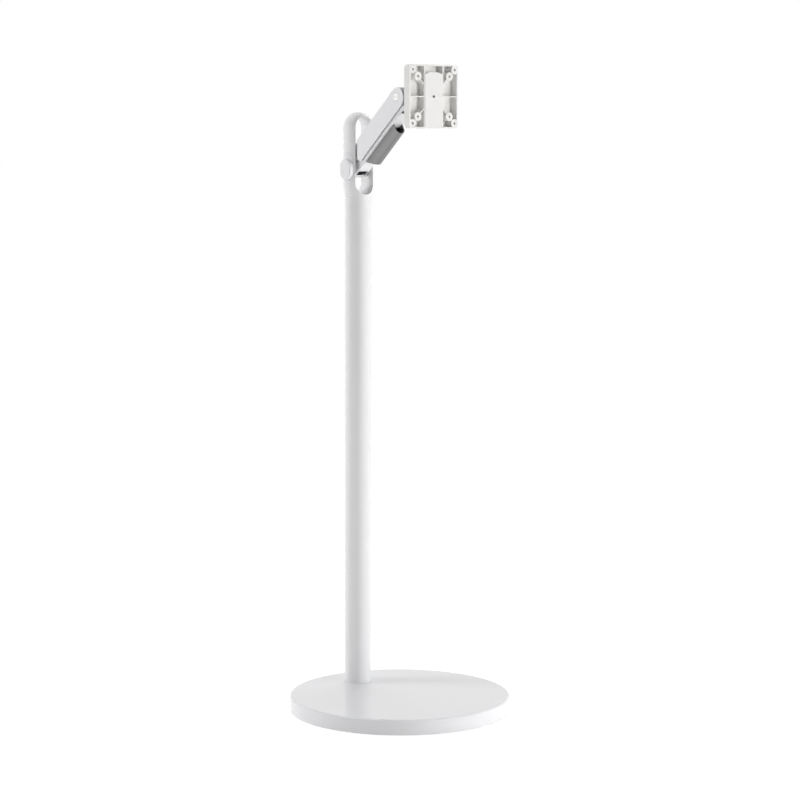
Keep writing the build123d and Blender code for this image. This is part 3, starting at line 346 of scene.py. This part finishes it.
# Extruded aluminium, anodised: neutral silver with fine die lines along the duct
ANODISED = DrawnMetal("silver_anodised_aluminium_extrusion", "#939393", roughness=0.4)
# Zinc-plated steel of the screws and pins: pale, faintly blue, with turning marks
ZINC = TurnedMetal("zinc_plated_turned_steel", "#C9CBCE", roughness=0.32)
# Black-oxide steel of the turn screw: dark and oily; its black also paints the shade inside the
# tongue's hole
BLACK_OXIDE = TurnedMetal("black_oxide_socket_screw", "#1D1D1E", roughness=0.4)
# Bright nickel plate of the front pin: a clear reflection in the dish of its head
NICKEL = TurnedMetal("bright_nickel_plated_pin", "#F4F4F3", roughness=0.14, line_depth_mm=0.002)
# Nitrided ground steel of the gas spring's rod: almost black, with a soft shine; its black also
# paints the shade seen through the lower link's rear window
NITRIDED = DrawnMetal("black_nitrided_ground_rod", "#2C2C2E", roughness=0.3, line_depth_mm=0.002)
# Die-cast aluminium, shot-blasted: even mid grey without a clear reflection; the grey is partly
# painted shade on the knuckle and bracket behind the arm's nose, and keeps the lower link's front
# window dark
BLASTED = GrainedSkin("grey_shot_blasted_aluminium_casting", "#9FA0A2", roughness=0.5,
                      metallic=1.0, grain_mm=2.0)
# Black lacquered steel of the ballast, the flange and the gas cylinder: deep and even
BLACK_LACQUER = GrainedSkin("black_lacquered_steel", "#1B1B1C", roughness=0.35, tint=0.15)
# Acetal bearing resin, moulded: dense black with a dull shine
ACETAL = MouldedPlastic("black_acetal_resin_moulded", "#1E1E1F", roughness=0.42, ior=1.48,
                        wave_mm=9.0)
# Nitrile rubber of the feet, moulded: matt black with a fine grain
RUBBER = GrainedSkin("black_nitrile_rubber_moulded", "#222223", roughness=0.75, ior=1.52,
                     grain_mm=1.5, tint=0.1)


def circle(diameter: float) -> Outline:
    """Returns a round outline of a diameter in millimetres."""
    return lambda turn: diameter / 2


def hexagon(across: float) -> Outline:
    """Returns a six-sided outline of a width across its flats in millimetres."""
    sixth = math.tau / 6
    return lambda turn: across / 2 / math.cos(turn % sixth - sixth / 2)


def chamfered_hexagon(across: float, corner: float) -> Outline:
    """Returns a six-sided outline whose corners are turned down to a diameter."""
    flats = hexagon(across)
    return lambda turn: min(flats(turn), corner / 2)


def cross(reach: float, width: float) -> Outline:
    """Returns the outline of a cross recess.

    Args:
        reach: length over two opposite arms in millimetres.
        width: width of an arm in millimetres.

    Returns:
        Radius at each turn about the axis.
    """
    quarter = math.tau / 4

    def radius(turn: float) -> float:
        """Returns the radius at one turn."""
        side = abs((turn + quarter / 2) % quarter - quarter / 2)
        flank = width / 2 / max(math.sin(side), LEAST_DIVISOR)
        return min(reach / 2 / math.cos(side), flank)

    return radius


def thread(crest: float, root: float, pitch: float, height: float) -> Outline:
    """Returns the outline of a screw thread at one height.

    Args:
        crest: outer diameter in millimetres.
        root: diameter at the bottom of the groove.
        pitch: rise of one turn.
        height: height of the section along the screw.

    Returns:
        Radius at each turn about the axis.
    """
    def radius(turn: float) -> float:
        """Returns the radius at one turn."""
        phase = (height / pitch - turn / math.tau) % 1.0
        ridge = min(1.0, RIDGE_OVER_CREST * (1.0 - abs(2.0 * phase - 1.0)))
        return (root + (crest - root) * ridge) / 2

    return radius


@dataclass
class Turned:
    """Closed piece made of rings about one axis, whose heights and outlines are in millimetres."""

    sides: int = 48
    rings: list[tuple[float, Outline]] = field(default_factory=list)

    def ring(self, height: float, outline: Outline) -> "Turned":
        """Adds one ring and returns the piece."""
        self.rings.append((height, outline))
        return self

    def add_to(self, mesh: bmesh.types.BMesh, place: Matrix) -> None:
        """Adds the piece to a mesh.

        Args:
            mesh: mesh that gets the faces.
            place: where the piece's axis starts and points.
        """
        loops = []
        for height, outline in self.rings:
            loop = []
            for number in range(self.sides):
                turn = math.tau * number / self.sides
                radius = outline(turn)
                point = Vector((radius * math.cos(turn), radius * math.sin(turn), height)) * MM
                loop.append(mesh.verts.new(place @ point))
            loops.append(loop)
        for lower, upper in zip(loops, loops[1:]):
            for number in range(self.sides):
                after = (number + 1) % self.sides
                mesh.faces.new((lower[number], lower[after], upper[after], upper[number]))
        mesh.faces.new(tuple(reversed(loops[0])))
        mesh.faces.new(tuple(loops[-1]))


@dataclass(frozen=True)
class Screw:
    """Screw with a round head, a recess and a thread, in millimetres."""

    head: float
    head_height: float
    shank: float
    drive: Drive
    recess: float
    pitch: float = 1.0
    threaded: float = 100.0
    edge: float = 0.4

    # Shares of the pitch, the shank, the root and the head's height
    ring_share: ClassVar[float] = 0.25
    root_share: ClassVar[float] = 0.82
    tip_share: ClassVar[float] = 0.8
    depth_share: ClassVar[float] = 0.55
    # Shares of the recess: an arm of the cross at its top, its reach and an arm at its floor
    arm_share: ClassVar[float] = 0.27
    floor_reach_share: ClassVar[float] = 0.6
    floor_arm_share: ClassVar[float] = 0.2
    # Lead of a hexagon socket, in millimetres
    lead_width: ClassVar[float] = 0.3
    lead_depth: ClassVar[float] = 0.15

    def turned(self, length: float) -> Turned:
        """Makes the screw from its tip to its head.

        Args:
            length: whole length with the head.

        Returns:
            The screw, whose axis points from the tip to the head.
        """
        seat_height = length - self.head_height
        root = self.shank * self.root_share
        piece = Turned().ring(0, circle(root * self.tip_share)).ring(self.pitch / 2, circle(root))
        height = self.pitch
        last = min(seat_height - self.pitch, self.threaded)
        while height < last:
            piece.ring(height, thread(self.shank, root, self.pitch, height))
            height += self.pitch * self.ring_share
        piece.ring(height, circle(self.shank)).ring(seat_height, circle(self.shank))
        piece.ring(seat_height, circle(self.head)).ring(length - self.edge, circle(self.head))
        piece.ring(length, circle(self.head - 2 * self.edge))
        return self.recessed(piece, length)

    def recessed(self, piece: Turned, length: float) -> Turned:
        """Cuts the recess into the head.

        Args:
            piece: screw up to the top of its head.
            length: height of that top.

        Returns:
            The screw with its recess.
        """
        floor = length - self.depth_share * self.head_height
        if self.drive is Drive.CROSS:
            piece.ring(length, cross(self.recess, self.recess * self.arm_share))
            return piece.ring(floor, cross(self.recess * self.floor_reach_share,
                                           self.recess * self.floor_arm_share))
        piece.ring(length, hexagon(self.recess + self.lead_width))
        piece.ring(length - self.lead_depth, hexagon(self.recess))
        return piece.ring(floor, hexagon(self.recess))


@dataclass(frozen=True)
class Nut:
    """Six-sided nut with turned corners, in millimetres, and a round collar where it has one."""

    across: float
    height: float
    bore: float
    collar: float = 0.0

    # Shares of the width over the flats, and of the width over the corners
    rim_share: ClassVar[float] = 1.02
    corner_share: ClassVar[float] = 0.985
    # Heights of the turned corners at the seat and at the top
    seat_chamfer: ClassVar[float] = 0.3
    top_chamfer: ClassVar[float] = 0.35
    # Shares of the width over the flats: the collar at its foot, below its edge and on top
    collar_foot_share: ClassVar[float] = 0.86
    collar_side_share: ClassVar[float] = 0.84
    collar_top_share: ClassVar[float] = 0.78
    collar_edge: ClassVar[float] = 0.2
    # Skin that closes the bore at the seat, inside the bolt
    skin: ClassVar[float] = 0.02

    def turned(self) -> Turned:
        """Makes the nut from its seat to its outer end, as a ring about its bolt."""
        top = self.height - self.collar
        corner = self.across / math.cos(math.pi / 6)
        rim = chamfered_hexagon(self.across, self.across * self.rim_share)
        full = chamfered_hexagon(self.across, corner * self.corner_share)
        piece = Turned().ring(0, circle(self.bore)).ring(0, rim)
        piece.ring(self.seat_chamfer, full).ring(top - self.top_chamfer, full).ring(top, rim)
        if self.collar:
            piece.ring(top, circle(self.across * self.collar_foot_share))
            piece.ring(self.height - self.collar_edge,
                       circle(self.across * self.collar_side_share))
            piece.ring(self.height, circle(self.across * self.collar_top_share))
        return piece.ring(self.height, circle(self.bore)).ring(self.skin, circle(self.bore))


@dataclass(frozen=True)
class Seat:
    """Where one turned piece sits: its foot and direction in metres, its length in millimetres."""

    place: Matrix
    length: float


def solids(node: str) -> list[list[Vector]]:
    """Finds the separate solids of a CAD node, in the order of its points.

    Args:
        node: name of the node.

    Returns:
        Points of each solid, in metres.
    """
    mesh = bmesh.new()
    mesh.from_mesh(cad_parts[node].data)
    bmesh.ops.remove_doubles(mesh, verts=mesh.verts, dist=WELD)
    reached = set()
    found = []
    for start in mesh.verts:
        if start in reached:
            continue
        reached.add(start)
        front = [start]
        points = []
        while front:
            vertex = front.pop()
            points.append(vertex.co.copy())
            for edge in vertex.link_edges:
                other = edge.other_vert(vertex)
                if other not in reached:
                    reached.add(other)
                    front.append(other)
        found.append(points)
    mesh.free()
    return found


def seat(points: list[Vector], axis: Vector) -> Seat:
    """Finds where a round solid sits along an axis.

    Args:
        points: points of the solid.
        axis: unit direction from its foot to its head.

    Returns:
        The seat of the solid.
    """
    heights = [axis.dot(point) for point in points]
    flat = [point - axis * axis.dot(point) for point in points]
    middle = Vector([(min(p[i] for p in flat) + max(p[i] for p in flat)) / 2 for i in range(3)])
    middle -= axis * axis.dot(middle)
    turned = axis.to_track_quat("Z", "Y").to_matrix().to_4x4()
    place = Matrix.Translation(middle + axis * min(heights)) @ turned
    return Seat(place, (max(heights) - min(heights)) / MM)


@dataclass
class Assembly:
    """Part of the stand that builds its own fine pieces and dresses itself."""

    body: str
    title: ClassVar[str] = "assembly"
    smooth_below: ClassVar[float] = math.radians(32.0)

    def finishes(self) -> dict[str, Finish]:
        """Returns the finish of each CAD piece that stays as it is."""
        return {}

    def build(self) -> None:
        """Builds the fine pieces; an assembly without any builds nothing."""

    def stand_for(self, node: str, slot: str, finish: Finish,
                  pieces: list[tuple[Turned, Matrix]]) -> None:
        """Makes one object of turned pieces and lets it stand for a CAD node.

        Args:
            node: CAD node that the object stands for.
            slot: not used.
            finish: finish of the object.
            pieces: each piece with its place.
        """
        mesh = bmesh.new()
        for piece, place in pieces:
            piece.add_to(mesh, place)
        bmesh.ops.recalc_face_normals(mesh, faces=mesh.faces)
        data = bpy.data.meshes.new(f"fine_{node}")
        mesh.to_mesh(data)
        mesh.free()
        data.shade_smooth()
        data.set_sharp_from_angle(angle=self.smooth_below)
        data.materials.append(finish.material())
        made = bpy.data.objects.new(f"fine_{node}", data)
        bpy.context.scene.collection.objects.link(made)
        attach(made, self.body)
        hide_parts(node)
        LOG.info("%s: %s in %s", self.title, made.name, finish.name)

    def screws(self, node: str, axis: Vector, screw: Screw, slot: str = "plated_steel",
               finish: Finish = ZINC) -> None:
        """Builds a fine screw in the place of each solid of a CAD node.

        Args:
            node: CAD node that the screws stand for.
            axis: unit direction from tip to head.
            screw: kind of screw.
            slot: passed on to stand_for, which does not use it.
            finish: finish of the screws.
        """
        seats = [seat(points, axis) for points in solids(node)]
        self.stand_for(node, slot, finish,
                       [(screw.turned(found.length), found.place) for found in seats])

    def dress(self) -> None:
        """Gives each CAD piece that stays its finish and reports it."""
        for node, finish in self.finishes().items():
            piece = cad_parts[node]
            piece.data.materials.clear()
            piece.data.materials.append(finish.material())
            LOG.info("%s: %s in %s", self.title, node, finish.name)


@dataclass
class Base(Assembly):
    """Weighted base: cover, ballast plate, flange, rubber feet and the screws from below."""

    body: str = "stand"
    title: ClassVar[str] = "base"
    cover_screw: Screw = Screw(head=8.0, head_height=3.0, shank=4.0, drive=Drive.CROSS,
                               recess=4.6, pitch=1.4, edge=0.7)
    flange_bolt: Screw = Screw(head=13.0, head_height=6.0, shank=8.0, drive=Drive.HEXAGON,
                               recess=6.0, pitch=1.25, edge=0.6)
    foot_diameter: float = 24.0
    foot_edge: float = 0.8
    foot_hollow: float = 9.0
    foot_groove: float = 16.0
    groove_width: float = 1.2
    groove_depth: float = 0.9

    def finishes(self) -> dict[str, Finish]:
        """Returns the finish of each CAD piece that stays as it is."""
        return {"base_cover": GLOSS_ABS, "ballast_plate": BLACK_LACQUER,
                "pole_flange": BLACK_LACQUER}

    def foot(self, height: float) -> Turned:
        """Makes one foot, with a groove and a hollow that grip the floor.

        Args:
            height: height from its seat to its tread.

        Returns:
            The foot from its seat to its tread.
        """
        bend = height - self.foot_edge / 3
        groove_floor = height - self.groove_depth
        piece = Turned().ring(0, circle(self.foot_diameter))
        piece.ring(height - self.foot_edge, circle(self.foot_diameter))
        piece.ring(bend, circle(self.foot_diameter - self.foot_edge))
        piece.ring(height, circle(self.foot_diameter - 2 * self.foot_edge))
        piece.ring(height, circle(self.foot_groove + self.groove_width))
        piece.ring(groove_floor, circle(self.foot_groove + self.groove_width / 2))
        piece.ring(groove_floor, circle(self.foot_groove - self.groove_width / 2))
        piece.ring(height, circle(self.foot_groove - self.groove_width))
        piece.ring(height, circle(self.foot_hollow))
        return piece.ring(groove_floor, circle(self.foot_hollow - 2 * self.groove_depth))

    def build(self) -> None:
        """Builds the feet, the cover's screws and the flange's bolts."""
        feet = [seat(points, DOWN) for points in solids("rubber_feet")]
        self.stand_for("rubber_feet", "foot_rubber", RUBBER,
                       [(self.foot(found.length), found.place) for found in feet])
        self.screws("cover_screws", DOWN, self.cover_screw)
        self.screws("flange_bolts", DOWN, self.flange_bolt)


@dataclass
class Pole(Assembly):
    """Round steel pole with the two screws that hold the head in it."""

    body: str = "stand"
    title: ClassVar[str] = "pole"
    head_screw: Screw = Screw(head=9.0, head_height=2.5, shank=5.0, drive=Drive.HEXAGON,
                              recess=3.0, pitch=0.8, edge=0.5)

    def finishes(self) -> dict[str, Finish]:
        """Returns the finish of each CAD piece that stays as it is."""
        return {"pole": WHITE_POWDER}

    def build(self) -> None:
        """Builds the screws at the rear, each square to the pole."""
        low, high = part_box("pole")
        middle = (low + high) / 2
        pieces = []
        for points in solids("head_screws"):
            centre = sum(points, Vector()) / len(points)
            outward = Vector((centre.x - middle.x, centre.y - middle.y, 0)).normalized()
            found = seat(points, outward)
            pieces.append((self.head_screw.turned(found.length), found.place))
        self.stand_for("head_screws", "plated_steel", ZINC, pieces)


@dataclass
class LoopHead(Assembly):
    """Die-cast loop with its neck, the two pivot caps and the axles of the arm's rear ends."""

    body: str = "stand"
    title: ClassVar[str] = "loop head"

    def finishes(self) -> dict[str, Finish]:
        """Returns the finish of each CAD piece that stays as it is."""
        # The rod spacers are black acetal; their black also paints the shade seen through the lower
        # link's rear window
        return {"head_yoke": CAST_POWDER, "pivot_cap_right": GLOSS_ABS,
                "pivot_cap_left": GLOSS_ABS, "upper_rear_axle": ZINC, "lower_rear_axle": ZINC,
                "axle_nuts": ZINC, "rod_spacers": ACETAL}


@dataclass
class UpperArm(Assembly):
    """Upper link under its moulded cover, with its bushes, front axle and the spring's pin."""

    body: str = "upper_arm"
    title: ClassVar[str] = "upper arm"
    pin_shank: float = 8.0
    pin_tip: float = 7.0
    pin_tip_height: float = 0.5
    pin_head: float = 15.0
    pin_head_height: float = 3.2
    pin_rim: float = 0.6
    pin_rim_share: float = 0.2
    pin_dish: float = 12.0
    pin_dish_depth: float = 1.3
    pin_dish_steps: int = 6
    pin_socket: float = 4.0
    pin_socket_share: float = 0.8

    def finishes(self) -> dict[str, Finish]:
        """Returns the finish of each CAD piece that stays as it is."""
        return {"upper_link": WHITE_POWDER, "upper_cover": GLOSS_ABS, "upper_rear_bushes": ACETAL,
                "front_axle_nut": WHITE_POWDER, "anchor_pin": ZINC}

    def front_pin(self, length: float) -> Turned:
        """Makes the front pin, whose head has a dish and a hexagon socket.

        Args:
            length: whole length with the head.

        Returns:
            The pin from its tip to its head.
        """
        under_head = length - self.pin_head_height
        lip = self.pin_head - 2 * self.pin_rim
        piece = Turned().ring(0, circle(self.pin_tip))
        piece.ring(self.pin_tip_height, circle(self.pin_shank))
        piece.ring(under_head, circle(self.pin_shank)).ring(under_head, circle(self.pin_head))
        piece.ring(length - self.pin_rim, circle(self.pin_head))
        piece.ring(length - self.pin_rim_share * self.pin_rim,
                   circle(self.pin_head - self.pin_rim))
        piece.ring(length, circle(lip))
        for step in range(1, self.pin_dish_steps + 1):
            slope = math.radians(90.0 * step / self.pin_dish_steps)
            inward = (lip - self.pin_dish) * math.sin(slope)
            drop = self.pin_dish_depth * (1 - math.cos(slope))
            piece.ring(length - drop, circle(lip - inward))
        piece.ring(length - self.pin_dish_depth, hexagon(self.pin_socket))
        socket_floor = length - self.pin_socket_share * self.pin_head_height
        return piece.ring(socket_floor, hexagon(self.pin_socket))

    def build(self) -> None:
        """Builds the front pin, whose head is on the left."""
        found = seat(solids("upper_front_axle")[0], LEFT)
        self.stand_for("upper_front_axle", "plated_steel", NICKEL,
                       [(self.front_pin(found.length), found.place)])


@dataclass
class LowerArm(Assembly):
    """Lower link with the extruded cable duct screwed below it."""

    body: str = "lower_arm"
    title: ClassVar[str] = "lower arm"
    duct_screw: Screw = Screw(head=5.5, head_height=1.6, shank=3.0, drive=Drive.CROSS,
                              recess=3.2, pitch=0.8)

    def finishes(self) -> dict[str, Finish]:
        """Returns the finish of each CAD piece that stays as it is."""
        return {"lower_link": WHITE_POWDER, "cable_duct": ANODISED, "lower_rear_bushes": ACETAL,
                "lower_front_axle": ZINC}

    def build(self) -> None:
        """Builds the duct's screws, square to the arm, with their heads inside the link."""
        above = Vector((0, math.sin(ARM_RISE), math.cos(ARM_RISE)))
        self.screws("duct_screws", above, self.duct_screw)


@dataclass
class GasSpring(Assembly):
    """Cylinder and rod of the gas spring inside the arm, which ride on two bodies."""

    body: str = "spring_cylinder"
    title: ClassVar[str] = "gas spring"

    def finishes(self) -> dict[str, Finish]:
        """Returns the finish of each CAD piece that stays as it is."""
        return {"gas_rod": NITRIDED, "gas_piston": ZINC, "gas_cylinder": BLACK_LACQUER,
                "rod_guide": ZINC}


@dataclass
class Knuckle(Assembly):
    """Casting that joins the front ends of the two links."""

    body: str = "knuckle"
    title: ClassVar[str] = "knuckle"

    def finishes(self) -> dict[str, Finish]:
        """Returns the finish of each CAD piece that stays as it is."""
        return {"arm_knuckle": BLASTED, "upper_front_bushes": ACETAL, "lower_front_bushes": ACETAL}


@dataclass
class SwivelHead(Assembly):
    """Bracket that swivels on the knuckle, with its pin, its nut and the tilt pin."""

    body: str = "swivel_head"
    title: ClassVar[str] = "swivel head"
    swivel_pin: Screw = Screw(head=13.0, head_height=2.5, shank=8.0, drive=Drive.HEXAGON,
                              recess=5.0, threaded=5.0, edge=0.8)
    swivel_nut: Nut = Nut(across=11.2, height=2.5, bore=8.0)
    tilt_pin: Screw = Screw(head=12.0, head_height=3.0, shank=6.0, drive=Drive.HEXAGON,
                            recess=6.0, threaded=6.0, edge=0.6)
    tilt_nut: Nut = Nut(across=10.2, height=3.0, bore=6.0, collar=0.9)

    def finishes(self) -> dict[str, Finish]:
        """Returns the finish of each CAD piece that stays as it is."""
        return {"swivel_bracket": BLASTED, "swivel_washers": ACETAL, "tilt_washers": ACETAL}

    def build(self) -> None:
        """Builds the two pins and their nuts."""
        self.screws("swivel_pin", UP, self.swivel_pin)
        self.screws("tilt_pin", LEFT, self.tilt_pin)
        for node, axis, nut in (("swivel_nut", -UP, self.swivel_nut),
                                ("tilt_nut", -LEFT, self.tilt_nut)):
            found = seat(solids(node)[0], axis)
            self.stand_for(node, "plated_steel", ZINC, [(nut.turned(), found.place)])


@dataclass
class TiltHead(Assembly):
    """Tilt block with the screw that the display plate turns on."""

    body: str = "tilt_head"
    title: ClassVar[str] = "tilt head"
    turn_screw: Screw = Screw(head=15.0, head_height=4.0, shank=8.0, drive=Drive.HEXAGON,
                              recess=6.0, threaded=6.0, edge=1.0)

    def finishes(self) -> dict[str, Finish]:
        """Returns the finish of each CAD piece that stays as it is."""
        return {"tilt_block": BLASTED, "turn_washer": ACETAL, "turn_head_washer": BLACK_OXIDE}

    def build(self) -> None:
        """Builds the turn screw, whose head is in front."""
        self.screws("turn_screw", FRONT, self.turn_screw, "dark_steel", BLACK_OXIDE)


@dataclass
class DisplayPlate(Assembly):
    """Square ribbed plate with its tongue and the four screws from behind."""

    body: str = "display"
    title: ClassVar[str] = "display plate"
    tongue_screw: Screw = Screw(head=5.6, head_height=1.6, shank=3.0, drive=Drive.CROSS,
                                recess=3.2, pitch=0.8)

    def finishes(self) -> dict[str, Finish]:
        """Returns the finish of each CAD piece that stays as it is."""
        return {"display_plate": SATIN_ABS, "mount_tongue": SATIN_ABS}

    def build(self) -> None:
        """Builds the screws that hold the tongue, with their heads behind the plate."""
        self.screws("tongue_screws", REAR, self.tongue_screw)


@dataclass(frozen=True)
class Lamp:
    """Soft rectangular lamp: metres, watts, and degrees to the right of the camera's side.

    Glossy surfaces show only a mirrored lamp. They would show a strip lamp as a hard-edged patch
    on the base.
    """

    name: str
    turn: float
    height: float
    distance: float
    size: tuple[float, float]
    power: float
    mirrored: bool = False


LAMPS = (
    Lamp("left_strip", turn=-90.0, height=1.2, distance=3.0, size=(1.0, 2.6), power=49.0),
    Lamp("right_strip", turn=60.0, height=0.85, distance=3.0, size=(0.6, 1.6), power=41.0),
    Lamp("edge_strip", turn=90.0, height=0.85, distance=3.0, size=(0.6, 1.6), power=26.0),
    Lamp("left_overhead", turn=-90.0, height=5.6, distance=2.0, size=(3.0, 3.0), power=45.0,
         mirrored=True),
    Lamp("rear_overhead", turn=180.0, height=5.6, distance=2.0, size=(3.0, 3.0), power=98.0),
)


@dataclass
class Studio:
    """White floor, even surroundings, five soft lamps and the camera."""

    target: Vector = field(default_factory=lambda: Vector((-0.00185, 0.0, 0.61086)))
    camera_place: Vector = field(default_factory=lambda: Vector((-2.84273, -3.66614, 1.13454)))
    roll: float = 0.002874
    lens_mm: float = 108.66
    sees_to: float = 100.0
    lamps_aim: float = 0.75
    floor_half: float = 60.0
    surround: float = 0.15
    floor_share: float = 0.86

    def camera(self) -> None:
        """Sets up the camera at the photograph's viewing angle."""
        data = bpy.data.cameras.new("camera")
        data.lens = self.lens_mm
        data.clip_end = self.sees_to
        camera = bpy.data.objects.new("camera", data)
        ahead = (self.target - self.camera_place).normalized()
        right = ahead.cross(UP).normalized()
        above = right.cross(ahead)
        turned_right = right * math.cos(self.roll) + above * math.sin(self.roll)
        turned_above = above * math.cos(self.roll) - right * math.sin(self.roll)
        axes = Matrix((turned_right, turned_above, -ahead)).transposed()
        camera.matrix_world = Matrix.Translation(self.camera_place) @ axes.to_4x4()
        bpy.context.scene.collection.objects.link(camera)
        bpy.context.scene.camera = camera
        LOG.info("studio: camera")

    def seen_white(self, tree: bpy.types.NodeTree) -> bpy.types.NodeSocket:
        """Adds a switch that is one for what the camera, a mirror or a glass shows.

        Args:
            tree: node tree of the floor or the surroundings.

        Returns:
            Socket with one for those rays and zero for the others.
        """
        path = add_node(tree, "ShaderNodeLightPath")
        seen = path.outputs["Is Camera Ray"]
        for name in ("Is Glossy Ray", "Is Transmission Ray"):
            joined = add_node(tree, "ShaderNodeMath", {0: seen, 1: path.outputs[name]},
                              operation="MAXIMUM")
            seen = joined.outputs[0]
        return seen

    def surroundings(self) -> None:
        """Lights the stand evenly from all sides, before a background that is seen as white."""
        world = bpy.data.worlds.new("surroundings")
        world.use_nodes = True
        bpy.context.scene.world = world
        tree = world.node_tree
        tree.nodes.clear()
        level = add_node(tree, "ShaderNodeMapRange", {"Value": self.seen_white(tree),
                                                      "To Min": self.surround, "To Max": 1.0})
        background = add_node(tree, "ShaderNodeBackground", {"Color": WHITE_LIGHT,
                                                             "Strength": level.outputs["Result"]})
        add_node(tree, "ShaderNodeOutputWorld", {"Surface": background.outputs[0]})
        LOG.info("studio: surroundings")

    def floor(self) -> None:
        """Lays the white floor, which keeps the stand's shadow."""
        mesh = bpy.data.meshes.new("floor")
        half = self.floor_half
        corners = [(-half, -half, 0), (half, -half, 0), (half, half, 0), (-half, half, 0)]
        mesh.from_pydata(corners, [], [(0, 1, 2, 3)])
        material = bpy.data.materials.new("white_paper_backdrop")
        material.use_nodes = True
        tree = material.node_tree
        tree.nodes.clear()
        paper = add_node(tree, "ShaderNodeBsdfDiffuse", {"Color": linear("#FFFFFF")})
        own_light = (1 - (1 - self.floor_share) * self.surround) / self.floor_share
        glow = add_node(tree, "ShaderNodeEmission", {"Color": WHITE_LIGHT, "Strength": own_light})
        share = add_node(tree, "ShaderNodeMath", {0: self.seen_white(tree), 1: self.floor_share},
                         operation="MULTIPLY")
        mix = add_node(tree, "ShaderNodeMixShader", {0: share.outputs[0], 1: paper.outputs[0],
                                                     2: glow.outputs[0]})
        add_node(tree, "ShaderNodeOutputMaterial", {"Surface": mix.outputs[0]})
        mesh.materials.append(material)
        floor = bpy.data.objects.new("floor", mesh)
        bpy.context.scene.collection.objects.link(floor)
        LOG.info("studio: floor")

    def hang(self, kind: Lamp) -> None:
        """Hangs one lamp, aimed at the middle of the stand.

        Args:
            kind: lamp to hang.
        """
        data = bpy.data.lights.new(kind.name, "AREA")
        data.shape = "RECTANGLE"
        data.size, data.size_y = kind.size
        data.energy = kind.power
        lamp = bpy.data.objects.new(kind.name, data)
        lamp.visible_glossy = kind.mirrored
        toward = Vector((self.camera_place.x, self.camera_place.y, 0)).normalized()
        side = Vector((-toward.y, toward.x, 0))
        angle = math.radians(kind.turn)
        flat = toward * math.cos(angle) + side * math.sin(angle)
        place = flat * kind.distance + Vector((0, 0, kind.height))
        aim = Vector((0, 0, self.lamps_aim)) - place
        turned = aim.to_track_quat("-Z", "Y").to_matrix().to_4x4()
        lamp.matrix_world = Matrix.Translation(place) @ turned
        bpy.context.scene.collection.objects.link(lamp)
        LOG.info("studio: %s", kind.name)

    def build(self) -> None:
        """Builds the whole studio around the stand."""
        self.surroundings()
        self.floor()
        self.camera()
        for lamp in LAMPS:
            self.hang(lamp)
        bpy.context.scene.view_settings.view_transform = "Standard"


def main() -> None:
    """Builds and dresses the stand from the floor up, then the studio."""
    logging.basicConfig(level=logging.INFO, format="%(message)s")
    for assembly in (Base(), Pole(), LoopHead(), UpperArm(), LowerArm(), GasSpring(), Knuckle(),
                     SwivelHead(), TiltHead(), DisplayPlate()):
        assembly.build()
        assembly.dress()
    Studio().build()


if __name__ == "__main__":
    main()
